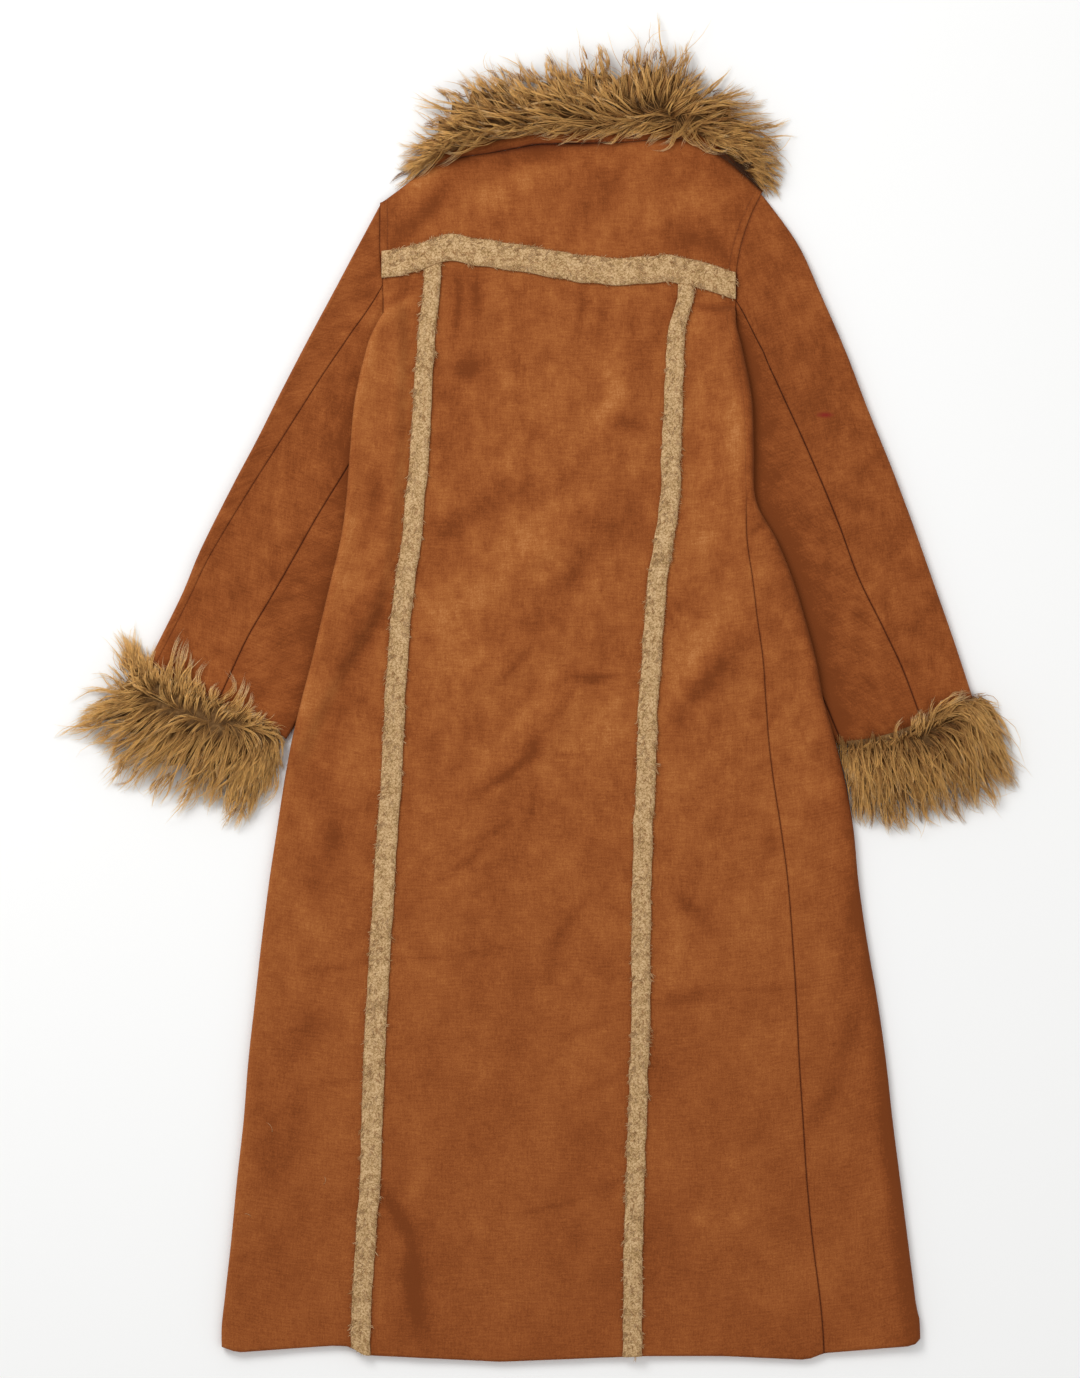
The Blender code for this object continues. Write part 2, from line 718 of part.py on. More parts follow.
def stand_width(across):
    """Width of the under-collar, narrow at both ends."""
    share = (across - COLLAR_BASE[0]) / (COLLAR_BASE[1] - COLLAR_BASE[0])
    fullness = np.sin(np.pi * np.clip(share, 0, 1)) ** 0.5
    return STAND_END_WIDTH + (STAND_WIDTH - STAND_END_WIDTH) * fullness


def between_locks(roots, tips):
    """Lock lines with a valley between each two, where the outline runs back towards the roots."""
    middle_roots = (roots[:-1] + roots[1:]) / 2
    middle_tips = (tips[:-1] + tips[1:]) / 2
    middle_tips = middle_tips + VALLEY * (middle_roots - middle_tips)
    count = 2 * len(roots) - 1
    all_roots = np.empty((count, 2))
    all_tips = np.empty((count, 2))
    all_roots[0::2], all_roots[1::2] = roots, middle_roots
    all_tips[0::2], all_tips[1::2] = tips, middle_tips
    return all_roots, all_tips


def fur_mass(name, roots, tips, crown, lip, lip_height):
    """A low fur cushion: lock lines from root to tip, flat below, ridged along each lock, and with a
    lip that lies over the cloth beside its roots."""
    roots, tips = between_locks(roots, tips)
    count = len(roots)
    order = np.arange(count)
    taper = END_HEIGHT + (1 - END_HEIGHT) * np.clip(np.minimum(order, order[::-1]) / TAPER_LOCKS, 0, 1)
    ridge = np.where(order % 2 == 0, 1.0, 1.0 - VALLEY_DEPTH)
    tops = [grid_row(roots + lip, lip_height + TIP_THICKNESS * taper)]
    lows = [grid_row(roots + lip, np.full(count, lip_height))]
    tops.append(grid_row(roots, lip_height + (FUR_PROFILE["rise"][0] * crown - lip_height) * taper))
    lows.append(grid_row(roots, np.full(count, lip_height)))
    for share, rise, on_floor in zip(*FUR_PROFILE.values()):
        forward = np.maximum(share, ROOT_STEP / np.linalg.norm(tips - roots, axis=1))
        line = roots + forward[:, None] * (tips - roots)
        height = TIP_UNDERSIDE + TIP_THICKNESS + (rise - FUR_PROFILE["rise"][-1]) * crown * taper * ridge
        tops.append(grid_row(line, height))
        lows.append(grid_row(line, np.full(count, 0.0 if on_floor else TIP_UNDERSIDE)))
    return shell(name, np.stack(tops), np.stack(lows), FUR, FUR_ROUGHNESS)


def grid_row(line, height):
    return np.column_stack([line, height])


def collar_fur():
    """Fur collar: the locks fan out from the neckline."""
    across = COLLAR_BASE[0] + COLLAR_LOCKS["root"] * (COLLAR_BASE[1] - COLLAR_BASE[0])
    up = curve(NECK, across) + stand_width(across) + ROOT_GAP
    roots = np.column_stack([across, up])
    tips = np.column_stack([COLLAR_LOCKS["across"], COLLAR_LOCKS["up"]])
    lip_height = FLAT_HEIGHT + STAND_RISE + FUR_GAP
    share = COLLAR_LOCKS["root"]
    ends = (0.0, *LIP_ENDS, 1.0)
    reach = np.interp(between(share), ends, (COLLAR_LIP_END, COLLAR_LIP, COLLAR_LIP, COLLAR_LIP_END))
    lip = np.column_stack([np.zeros_like(reach), -reach])
    return fur_mass("collar_fur", roots, tips, COLLAR_CROWN, lip, lip_height)


def between(values):
    """A list of values with the mean put between each two."""
    full = np.empty(2 * len(values) - 1)
    full[0::2] = values
    full[1::2] = (values[:-1] + values[1:]) / 2
    return full


def cuff(name, table, locks):
    """Fur cuff: the locks fan out from the sleeve's end."""
    start = np.array([table["outer_across"][-1], table["outer_up"][-1]])
    end = np.array([table["inner_across"][-1], table["inner_up"][-1]])
    before = np.array([table["outer_across"][-2], table["outer_up"][-2]])
    way = (end - start) / np.linalg.norm(end - start)
    inward = np.array([-way[1], way[0]])
    if inward @ (before - start) < 0:
        inward = -inward
    roots = start + locks["root"][:, None] * (end - start) - SEAM_GAP * inward
    tips = np.column_stack([locks["across"], locks["up"]])
    lip = np.tile(CUFF_LIP * inward, (2 * len(roots) - 1, 1))
    return fur_mass(name, roots, tips, CUFF_CROWN, lip, max(table["fold"]) + FUR_GAP)


def clear_scene():
    for old in list(bpy.data.objects):
        bpy.data.objects.remove(old)


def build():
    clear_scene()
    back_yoke()
    back_left()
    back_centre()
    back_right()
    front_left()
    front_right()
    yoke_strip()
    long_strip("strip_left")
    long_strip("strip_right")
    sleeve("sleeve_left", SLEEVE_LEFT, -1)
    sleeve("sleeve_right", SLEEVE_RIGHT, 1)
    collar_stand()
    collar_fur()
    cuff("cuff_left", SLEEVE_LEFT, CUFF_LEFT_LOCKS)
    cuff("cuff_right", SLEEVE_RIGHT, CUFF_RIGHT_LOCKS)


build()
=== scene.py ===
# %% [markdown]
# # A long sherpa coat, laid flat with its back up
#
# The coat is faux suede with a shaggy fur collar and cuffs, and strips of short curly pile over its back
# seams. The CAD model gives each piece its place and its reach. Here every piece is made again on the same
# form with finer steps, then it gets its seams, stitches, creases, pile and hair.
#
# All lengths in the tables are millimetres on the laid coat: `across` runs to the right from the middle
# of the back, and `up` runs from the lowest point of the hem to the collar.

import bpy
import numpy as np
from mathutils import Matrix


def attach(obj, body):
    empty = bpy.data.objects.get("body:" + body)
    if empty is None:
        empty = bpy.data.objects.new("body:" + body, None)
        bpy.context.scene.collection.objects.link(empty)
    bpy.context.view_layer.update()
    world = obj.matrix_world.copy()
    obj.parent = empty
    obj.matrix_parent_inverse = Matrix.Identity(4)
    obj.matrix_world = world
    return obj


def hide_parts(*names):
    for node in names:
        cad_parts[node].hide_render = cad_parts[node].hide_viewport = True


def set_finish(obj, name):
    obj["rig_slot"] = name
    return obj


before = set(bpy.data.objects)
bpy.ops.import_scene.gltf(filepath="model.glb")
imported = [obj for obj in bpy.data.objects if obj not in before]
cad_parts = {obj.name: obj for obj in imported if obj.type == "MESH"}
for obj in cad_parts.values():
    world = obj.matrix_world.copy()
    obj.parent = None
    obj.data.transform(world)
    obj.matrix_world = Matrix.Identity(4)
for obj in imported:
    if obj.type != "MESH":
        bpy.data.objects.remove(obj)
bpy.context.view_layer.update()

# %% [markdown]
# ## Lengths that the whole coat shares
#
# A laid coat is two layers of cloth with a little air between them. At a side fold the cloth turns round,
# so the coat is fuller there. The same lengths are in the CAD model.

# %% Shared lengths
MM = 0.001
ORIGIN_ACROSS, ORIGIN_UP = 2.5, 703.0
CLOTH = 2.5
SEAM_GAP = 0.3
LAY_GAP = 2.4
FLAT_HEIGHT = 2 * CLOTH + LAY_GAP
FOLD_HEIGHT = 11.0
FOLD_RADIUS = FOLD_HEIGHT / 2
FOLD_SOFTNESS = 26.0
SLEEVE_SOFTNESS = 22.0
TUCK_CLEAR = 7.0
RAMP_LEFT, RAMP_RIGHT = 18.0, 36.0
STRIP_WIDTH = 21.0
YOKE_STRIP_WIDTH = 29.0
OPEN_ROWS = 3
# Heights up of the body table's yoke seam, its first row with folded sides, and its hem
YOKE_UP, OPEN_UP, HEM_UP = 1143.0, 1100.0, 4.0
# How far a tucked sleeve lifts the body
SLEEVE_LIFT = 8.2


def named(columns, rows):
    """One array for each named column of a table."""
    return dict(zip(columns.split(), np.array(rows, dtype=float).T))


BODY = named("up left strip_left strip_right seam_in right tuck_left tuck_right lift", [
    (1143, -164, -113, 153, 0, 207, 0, 0, 0),
    (1128, -164, -113, 153, 0, 207, 0, 0, 0),
    (1114, -164, -114, 152, 0, 206, 0, 0, 0),
    (1100, -164, -116, 148, 9, 205, 4, 4, 8.2),
    (1085, -173, -118, 144, 9, 206, 14, 8, 8.2),
    (1062, -182, -120, 142, 9, 212, 24, 13, 8.2),
    (1009, -194, -123, 140, 9, 222, 34, 18, 8.2),
    (957, -199, -126, 138, 9, 224, 38, 20, 8.2),
    (904, -203, -131, 136, 10, 226, 39, 21, 8.2),
    (862, -209, -135, 130, 31, 248, 40, 30, 8.2),
    (820, -219, -141, 123, 42, 265, 42, 36, 8.2),
    (778, -229, -146, 120, 50, 278, 37, 36, 8.2),
    (736, -239, -149, 117, 55, 289, 24, 28, 8.2),
    (694, -250, -152, 114, 60, 297, 12, 17, 8.2),
    (652, -260, -154, 112, 69, 309, 3, 5, 8.2),
    (610, -268, -156, 111, 75, 320, 0, 0, 0),
    (558, -276, -160, 108, 76, 329, 0, 0, 0),
    (505, -284, -163, 107, 74, 334, 0, 0, 0),
    (442, -292, -167, 106, 78, 343, 0, 0, 0),
    (379, -299, -171, 106, 85, 354, 0, 0, 0),
    (316, -306, -174, 104, 91, 363, 0, 0, 0),
    (253, -311, -176, 102, 94, 370, 0, 0, 0),
    (190, -318, -178, 100, 98, 378, 0, 0, 0),
    (127, -324, -183, 98, 100, 386, 0, 0, 0),
    (64, -331, -187, 97, 100, 394, 0, 0, 0),
    (26, -334, -188, 97, 101, 398, 0, 0, 0),
    (4, -334, -188, 97, 101, 399, 0, 0, 0),
])
LAST_ROW = len(BODY["up"]) - 1
YOKE_SEAM = named("across up", [
    (-168, 1149.5), (-153, 1152), (-128, 1157.5), (-98, 1169.5), (-63, 1163.5), (5, 1153), (40, 1146.5),
    (77, 1143), (110, 1144.5), (134, 1146.5), (160, 1142.5), (185, 1134.5), (204, 1128.5),
])
NECK = named("across up", [
    (-167, 1214), (-139, 1235), (-118, 1253), (-85, 1263), (-50, 1268), (-3, 1277), (91, 1279), (145, 1284),
    (176, 1273), (195, 1259), (224, 1237), (233, 1226),
])
HEM = named("across up", [
    (-334, 16), (-317, 10), (-216, 17), (-198, 16), (-185, 7), (-42, 0), (109, 6), (192, 6), (280, 2),
    (298, 9), (394, 17), (399, 27),
])
ARMHOLE_LEFT = named("up across", [(988, -160), (1100, -164), (1135, -165), (1166, -168), (1226, -168)])
ARMHOLE_RIGHT = named("up across", [(1004, 203), (1128, 205.5), (1226, 205.5)])
ARMHOLE_GAP = 0.12
SHOULDER_BOW, BOW_START, BOW_LENGTH = 27.5, 1128.0, 98.0
print("Body table:", LAST_ROW + 1, "rows from yoke seam to hem")

# %% [markdown]
# ## Smooth curves and a mesh from whole arrays
#
# A table has few rows, and cloth has no corners. So each column is drawn as a smooth curve through its
# values. A surface is then a grid of points, worked out for all rows and columns at once. Cloth is
# closed by the same grid moved in by its thickness, with a rim all round. That keeps every wall a real
# solid, and no modifier has to guess its thickness.

# %% Curves and grids


def through(values, at):
    """Catmull-Rom curve: between two values, the cubic whose slope at each is half the step across it."""
    values = np.asarray(values, dtype=float)
    low = np.clip(np.floor(at).astype(int), 0, len(values) - 2)
    part = at - low
    before, start, end, after = (values[np.clip(low + step, 0, len(values) - 1)] for step in (-1, 0, 1, 2))
    square, cube = part**2, part**3
    return (
        (2 * cube - 3 * square + 1) * start
        + (cube - 2 * square + part) * (end - before) / 2
        + (3 * square - 2 * cube) * end
        + (cube - square) * (after - start) / 2
    )


def ease(share):
    """Soft step from 1 down to 0: half a cosine wave."""
    return 0.5 + 0.5 * np.cos(np.pi * np.clip(share, 0.0, 1.0))


def curve(table, across, window=6.0):
    """Height up of a seam at a place across: the table's straight lines, averaged over a window."""
    shifts = np.linspace(-window, window, 5)
    return np.mean([np.interp(across + shift, table["across"], table["up"]) for shift in shifts], axis=0)


def ripple(across, up, size, seed):
    """Gentle unevenness from -1 to 1: eight sine waves of about one size in seeded directions."""
    draw = np.random.default_rng(seed)
    total = np.zeros(np.broadcast(across, up).shape)
    waves = draw.uniform(0, np.pi, 8), draw.uniform(0.7, 1.6, 8), draw.uniform(0, 7, 8)
    for turn, stretch, phase in zip(*waves):
        wave = 2 * np.pi / (size * stretch)
        total = total + np.sin(wave * (across * np.cos(turn) + up * np.sin(turn)) + phase)
    return total / 4


def ridges(table, across, up):
    """Sum of long rounded ridges. Each is a bell across its line and along it, and the line may bend."""
    total = np.zeros(np.broadcast(across, up).shape)
    for middle_across, middle_up, angle, length, width, height, bend in zip(*table.values()):
        turn = np.radians(angle)
        along = ((across - middle_across) * np.cos(turn) + (up - middle_up) * np.sin(turn)) / length
        aside = (up - middle_up) * np.cos(turn) - (across - middle_across) * np.sin(turn)
        aside = (aside - bend * (along**2 - 0.3)) / width
        total = total + height * np.exp(-(along**2) - aside**2)
    return total


def spread(start, end, count, near_start=(), near_end=()):
    """Places from start to end, one row for each: fixed steps near both ends and even steps between."""
    start, end = (np.asarray(places, dtype=float).reshape(-1, 1) for places in (start, end))
    needed = 1.0 + max((0.0, *near_start)) + max((0.0, *near_end))
    way = np.sign(end - start) * np.minimum(1.0, 0.8 * np.abs(end - start) / needed)
    first = start + way * np.array([0.0, *near_start])
    last = end - way * np.array([*sorted(near_end, reverse=True), 0.0])
    share = np.linspace(0, 1, count + 2)[1:-1]
    middle = first[:, -1:] + share * (last[:, :1] - first[:, -1:])
    return np.concatenate([first, middle, last], axis=1)


def blend(grid, row, col):
    """Value between the points of a grid: the mean of the four round it, the nearest weighing most."""
    r, c = row.astype(int), col.astype(int)
    down, on = (part.reshape(*part.shape, *[1] * (grid.ndim - 2)) for part in (row - r, col - c))
    above = (1 - on) * grid[r, c] + on * grid[r, c + 1]
    below = (1 - on) * grid[r + 1, c] + on * grid[r + 1, c + 1]
    return (1 - down) * above + down * below


print("A curve through 0, 1, 4, 9 is", through([0, 1, 4, 9], np.array([1.5]))[0], "halfway")

# %% Meshes


def place(points):
    """Millimetres on the laid coat, turned to metres from the frame's origin."""
    return (np.asarray(points) - (ORIGIN_ACROSS, ORIGIN_UP, 0.0)) * MM


def put(name, data):
    """A new object in the scene."""
    made = bpy.data.objects.new(name, data)
    bpy.context.scene.collection.objects.link(made)
    return made


def make_piece(name, points, faces, material, slot, layers, cut=None):
    """A mesh from whole arrays: points, faces of one size, a value for each point in each layer."""
    mesh = bpy.data.meshes.new(name)
    mesh.vertices.add(len(points))
    mesh.vertices.foreach_set("co", place(points).astype(np.float32).ravel())
    mesh.loops.add(faces.size)
    mesh.loops.foreach_set("vertex_index", faces.astype(np.int32).ravel())
    mesh.polygons.add(len(faces))
    starts = np.arange(0, faces.size, faces.shape[1], dtype=np.int32)
    mesh.polygons.foreach_set("loop_start", starts)
    mesh.update(calc_edges=True)
    for layer, values in layers.items():
        made = mesh.attributes.new(layer, "FLOAT", "POINT")
        made.data.foreach_set("value", np.asarray(values, dtype=np.float32).ravel())
    if cut is not None:
        flat = mesh.uv_layers.new(name="cut")
        flat.data.foreach_set("uv", cut[faces.ravel()].astype(np.float32).ravel())
    mesh.shade_smooth()
    mesh.materials.append(material)
    piece = put(name, mesh)
    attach(piece, "root")
    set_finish(piece, slot)
    return piece


def signed_volume(points, quads):
    """Sum of the pyramids from the origin to each face: positive when the faces point outwards."""
    a, b, c, d = (points[quads[:, corner]] for corner in range(4))
    return (np.sum(a * np.cross(b, c)) + np.sum(a * np.cross(c, d))) / 6


def close_grids(outer, inner, keep=None):
    """Points and quads of a closed solid: two like grids and a rim round the quads that are kept."""
    rows, columns = outer.shape[:2]
    count = rows * columns
    index = np.arange(count).reshape(rows, columns)
    quads = np.stack([index[:-1, :-1], index[:-1, 1:], index[1:, 1:], index[1:, :-1]], axis=-1)
    quads = quads.reshape(-1, 4) if keep is None else quads[keep]
    edges = np.stack([quads, np.roll(quads, -1, axis=1)], axis=-1).reshape(-1, 2)
    there, back = edges @ (count, 1), edges @ (1, count)
    rim = edges[~np.isin(there, back)]
    wall = np.column_stack([rim[:, 1], rim[:, 0], rim[:, 0] + count, rim[:, 1] + count])
    faces = np.concatenate([quads, quads[:, ::-1] + count, wall])
    points = np.concatenate([outer.reshape(-1, 3), inner.reshape(-1, 3)])
    if signed_volume(points, faces) < 0:
        faces = faces[:, ::-1]
    used, renumbered = np.unique(faces, return_inverse=True)
    return points, used, renumbered.reshape(faces.shape)


def steps_along(outer):
    """Lengths of the steps from point to point, along the rows and along the columns."""
    return [np.linalg.norm(np.diff(outer, axis=axis), axis=-1) for axis in (1, 0)]


def flat_cut(outer):
    """Where each point lies on the flat cloth, in metres: the distance run along its row and column."""
    along_row, along_column = steps_along(outer)
    run = np.pad(np.cumsum(along_row, axis=1), ((0, 0), (1, 0))) + outer[:, :1, 0]
    rise = np.pad(np.cumsum(along_column, axis=0), ((1, 0), (0, 0))) - outer[:1, :, 1]
    return np.stack([run, -rise], axis=-1) * MM


def flat_size(outer, keep=None):
    """Width and length of the cut in metres: the longest run along a row and along a column."""
    along_row, along_column = steps_along(outer)
    if keep is not None:
        along_row = np.minimum(along_row[:-1], along_row[1:]) * keep
        along_column = np.minimum(along_column[:, :-1], along_column[:, 1:]) * keep
    longest = along_row.sum(axis=1).max(), along_column.sum(axis=0).max()
    return tuple(round(float(length) * MM, 3) for length in longest)


def facing(points, up=True):
    """Normals of flat cloth: straight up, or straight down on the underside."""
    normal = np.zeros_like(points)
    normal[..., 2] = 1.0 if up else -1.0
    return normal


print("The frame's origin lies", ORIGIN_UP, "mm above the lowest point of the hem")

# %% [markdown]
# ## Nodes for the finishes
#
# Every finish is worked out from noise and waves, with no pictures. One helper adds a node, sets its
# values and joins its links, so that each finish reads as a short list of steps. Colours are written as
# the sRGB values that the eye sees, and one function turns them to the linear values of light.

# %% Colour and node helpers


def colour(code):
    """sRGB hex to linear light: the standard curve, a short straight part and a power of 2.4."""
    parts = np.array([int(code[start:start + 2], 16) for start in (1, 3, 5)]) / 255
    linear = np.where(parts <= 0.04045, parts / 12.92, ((parts + 0.055) / 1.055) ** 2.4)
    return (*linear.tolist(), 1.0)


def fill(tree, node, inputs):
    """Sets a node's inputs: each is a value or another node's output."""
    for key, value in inputs.items():
        if isinstance(value, bpy.types.NodeSocket):
            tree.links.new(value, node.inputs[key])
        else:
            node.inputs[key].default_value = value


def add(tree, kind, settings=None, inputs=None):
    """Adds one node: settings are its own properties, inputs are values or other nodes' outputs."""
    made = tree.nodes.new(kind)
    for key, value in (settings or {}).items():
        setattr(made, key, value)
    fill(tree, made, inputs or {})
    return made


def place_in(tree):
    """The place on the coat, in metres."""
    return add(tree, "ShaderNodeTexCoord").outputs["Object"]


def on_mesh(tree, layer):
    """The value that the mesh carries in a layer."""
    return add(tree, "ShaderNodeAttribute", {"attribute_name": layer}).outputs["Fac"]


def times(tree, first, second, clamped=True):
    """Product of two values, kept between 0 and 1 if it's clamped."""
    settings = {"operation": "MULTIPLY", "use_clamp": clamped}
    return add(tree, "ShaderNodeMath", settings, {0: first, 1: second}).outputs[0]


def tinted(tree, base, tint, share=1.0, way="MULTIPLY"):
    """A colour times another, or with the way MIX the other over it, in a share."""
    settings = {"data_type": "RGBA", "blend_type": way}
    return add(tree, "ShaderNodeMix", settings, {"Factor": share, 6: base, 7: tint}).outputs[2]


def relief_of(tree, height, strength, distance):
    """The normal of a bumpy face."""
    inputs = {"Strength": strength, "Distance": distance, "Height": height}
    return add(tree, "ShaderNodeBump", inputs=inputs).outputs["Normal"]


def ramp(tree, factor, stops):
    """A colour ramp through (place, hex) stops."""
    made = add(tree, "ShaderNodeValToRGB", inputs={"Fac": factor})
    while len(made.color_ramp.elements) < len(stops):
        made.color_ramp.elements.new(0.5)
    for element, (place_on_ramp, code) in zip(made.color_ramp.elements, stops):
        element.position = place_on_ramp
        element.color = colour(code)
    return made.outputs["Color"]


def weigh(tree, *terms):
    """Sum of terms: each is an output times a weight, or a plain number."""
    total = 0.0
    for term in terms:
        if isinstance(term, tuple):
            values = {0: term[0], 1: term[1], 2: total}
            total = add(tree, "ShaderNodeMath", {"operation": "MULTIPLY_ADD"}, values).outputs[0]
        else:
            total = add(tree, "ShaderNodeMath", {"operation": "ADD"}, {0: total, 1: term}).outputs[0]
    return total


def new_material(name):
    """An empty material: its node tree and the shader at its end."""
    made = bpy.data.materials.new(name)
    made.use_nodes = True
    tree = made.node_tree
    tree.nodes.clear()
    shader = add(tree, "ShaderNodeBsdfPrincipled")
    add(tree, "ShaderNodeOutputMaterial", inputs={"Surface": shader.outputs["BSDF"]})
    return made, tree, shader


def noise(tree, where, size, detail=2.0, roughness=0.5):
    """Noise whose blotches are about `size` millimetres across."""
    inputs = {"Vector": where, "Scale": 1.0 / (size * MM), "Detail": detail, "Roughness": roughness}
    return add(tree, "ShaderNodeTexNoise", inputs=inputs).outputs["Fac"]


def swing(tree, value, weight):
    """A term for `weigh`: how far a value is from 0.5, times a weight."""
    return weigh(tree, value, -0.5), weight


print("Tan suede in linear light:", np.round(colour("#975529")[:3], 3).tolist())

# %% [markdown]
# ## Faux suede
#
# The real cloth is microfibre polyester, brushed and sanded until its face is a short nap. Where the nap
# was stroked one way it looks lighter, and the other way darker, in soft blotches as wide as a hand. The
# blotches are large noise. The brush leaves fine streaks down the cloth, and the knit behind it shows as
# very faint lines across. The grain is about 1.3 mm, coarser than the real fibres so that it shows. Three
# values on the mesh say what has a place. The first is the tone of nap patches that lie light or dark,
# together with painted highlights and painted shadows along folds, creases and the sleeves beside the body.
# The second is how much the nap is worn by brushing. The third is the darker cloth pinched into a seam,
# together with painted shade in its groove and the painted shadow under the collar.

# %% Suede
STAIN, STAIN_LENGTH, STAIN_HEIGHT = (299.0, 993.0), 10.0, 3.4


def suede_finish(name):
    """Microfibre suede: dull, IOR 1.5, with a soft sheen from its nap."""
    made, tree, shader = new_material(name)
    where = place_in(tree)
    cut = add(tree, "ShaderNodeUVMap", {"uv_map": "cut"}).outputs["UV"]
    tone_and_shade, pinch_and_shade, worn = (on_mesh(tree, layer) for layer in ("tone_and_shade", "pinch_and_shade", "worn"))
    streaks_at, rows_at, brush_at, mark_at = (
        add(tree, "ShaderNodeMapping", inputs={"Vector": cut, "Scale": scale}).outputs["Vector"]
        for scale in ((1.0, 0.14, 1.0), (0.12, 1.0, 1.0), (1.0, 0.42, 1.0), (1.0, 0.3, 1.0))
    )
    blotch = noise(tree, where, 95.0, 3.0, 0.55)
    patch = noise(tree, where, 24.0, 3.0, 0.6)
    brush = noise(tree, brush_at, 15.0, 3.0, 0.6)
    mark = noise(tree, mark_at, 10.0, 2.0, 0.55)
    streak = noise(tree, streaks_at, 1.7, 2.0, 0.5)
    rows = noise(tree, rows_at, 1.9, 1.0, 0.5)
    grain = noise(tree, where, 1.3, 2.0, 0.6)
    smudge = times(tree, weigh(tree, 0.4, (mark, -1.0)), 9.0)
    brushed = weigh(tree, swing(tree, brush, 0.6), swing(tree, patch, 0.75), (smudge, -0.12))
    lightness = weigh(
        tree, 0.5, (tone_and_shade, 0.42), times(tree, brushed, worn, False), swing(tree, blotch, 0.45),
        swing(tree, streak, 0.4), swing(tree, rows, 0.42), swing(tree, grain, 0.85),
    )
    stops = [(0.0, "#713712"), (0.28, "#85451c"), (0.52, "#945225"), (0.76, "#a2602e"), (1.0, "#b37340")]
    # Seams tint the cloth darker: partly darker nap drawn into the seam, partly painted shade in its groove
    # and the painted shadow under the collar.
    seam_and_shade_tint = ramp(tree, pinch_and_shade, [(0.0, "#ffffff"), (1.0, "#a07a60")])
    face = tinted(tree, ramp(tree, lightness, stops), seam_and_shade_tint)
    stain_scale = np.array([1 / (STAIN_LENGTH * MM), 1 / (STAIN_HEIGHT * MM), 0.0])
    stain_place = (place((*STAIN, 0.0)) * stain_scale).tolist()
    scaled = add(tree, "ShaderNodeVectorMath", {"operation": "MULTIPLY"}, {0: where, 1: stain_scale.tolist()})
    far = add(tree, "ShaderNodeVectorMath", {"operation": "DISTANCE"}, {0: scaled.outputs[0], 1: stain_place})
    stain = times(tree, weigh(tree, 1.1, (far.outputs["Value"], -1.0), swing(tree, grain, 1.2)), 1.1)
    relief = weigh(tree, (grain, 0.5), (streak, 0.5), (rows, 0.35), (brush, 0.8))
    fill(tree, shader, {
        "Base Color": tinted(tree, face, colour("#7c2218"), stain, "MIX"),
        "Normal": relief_of(tree, relief, 0.45, 0.0005),
        "Roughness": 0.92, "IOR": 1.5, "Specular IOR Level": 0.18,
        "Sheen Weight": 0.12, "Sheen Roughness": 0.55, "Sheen Tint": colour("#d9a06a"),
    })
    return made


suede = suede_finish("microfibre_suede")
print("Suede nodes:", len(suede.node_tree.nodes))

# %% [markdown]
# ## The form of the laid body
#
# The body is one surface in two parameters. The row number runs from the yoke seam to the hem, and a
# share runs across. The top rises where a side lies on a tucked sleeve and where the cloth turns round a
# fold. Broad folds are in the CAD model. The creases below are smaller and go on top of them: long soft
# ridges and troughs, none like the next.

# %% Body surface
FOLD_COLUMNS = "across up angle length width height bend"
FOLDS = named(FOLD_COLUMNS, [
    (24, 857, 35, 60, 22, 3.6, 0), (-32, 733, 32, 42, 18, 2.6, 0), (16, 677, 56, 48, 17, 2.8, 0),
    (-38, 613, 35, 34, 16, 2.2, 0), (175, 720, 50, 56, 24, 3.6, 0), (-168, 795, 58, 50, 20, 3.0, 0),
    (-76, 1108, 88, 44, 14, 2.4, 0), (-60, 1100, 84, 32, 10, 2.0, 0), (90, 1010, 80, 60, 26, 2.4, 0),
])
BACK_CREASES = named(FOLD_COLUMNS, [
    (8, 838, 38, 34, 7, -1.4, 4), (38, 872, 30, 26, 6, -1.0, -3), (-12, 742, 30, 24, 6, -1.1, 3),
    (54, 719, 2, 20, 3, 0.9, 2), (0, 660, 50, 30, 8, -1.2, -4), (-52, 600, 34, 18, 5, -0.9, 2),
    (-58, 622, 30, 20, 6, 0.8, 0), (162, 690, 52, 36, 9, -1.3, 4), (188, 742, 46, 24, 7, 0.8, -3),
    (-182, 762, 62, 34, 10, -1.2, 5), (-150, 828, 50, 22, 7, 0.7, 0), (-84, 1090, 88, 30, 4, -1.0, 3),
    (-66, 1118, 86, 18, 3, 0.8, -2), (-76, 1046, 80, 26, 8, -0.8, 4), (60, 1000, 70, 40, 12, -0.9, 6),
    (110, 960, 74, 34, 12, 0.7, -5), (-90, 940, 84, 44, 12, -0.8, 5), (30, 560, 20, 46, 12, -0.7, 6),
    (-100, 480, 74, 60, 16, 0.8, 6), (20, 420, 82, 70, 18, -0.8, -7), (60, 300, 78, 60, 16, 0.7, 5),
    (-70, 260, 80, 66, 18, -0.7, 6), (-230, 420, 82, 60, 14, -0.8, 5), (-260, 260, 84, 60, 14, 0.8, -5),
    (-230, 140, 78, 46, 12, -0.6, 4), (170, 470, 80, 60, 14, -0.8, -5), (210, 330, 76, 54, 13, 0.8, 5),
    (180, 190, 82, 50, 14, -0.7, 4), (215, 560, 72, 40, 10, 0.9, 4), (330, 250, 80, 60, 12, -0.8, 5),
    (340, 120, 84, 40, 10, 0.7, -3), (240, 800, 58, 26, 8, -0.9, 3), (-200, 700, 70, 40, 10, 0.9, -4),
    (-190, 900, 80, 30, 8, -0.7, 3), (228, 874, 38, 11, 3, -1.8, 1), (224, 884, 40, 12, 4, 0.8, 1),
    (60, 120, 10, 46, 12, 0.5, 4), (-40, 60, 4, 50, 10, -0.5, 3), (-260, 50, 2, 40, 9, 0.5, 2),
])


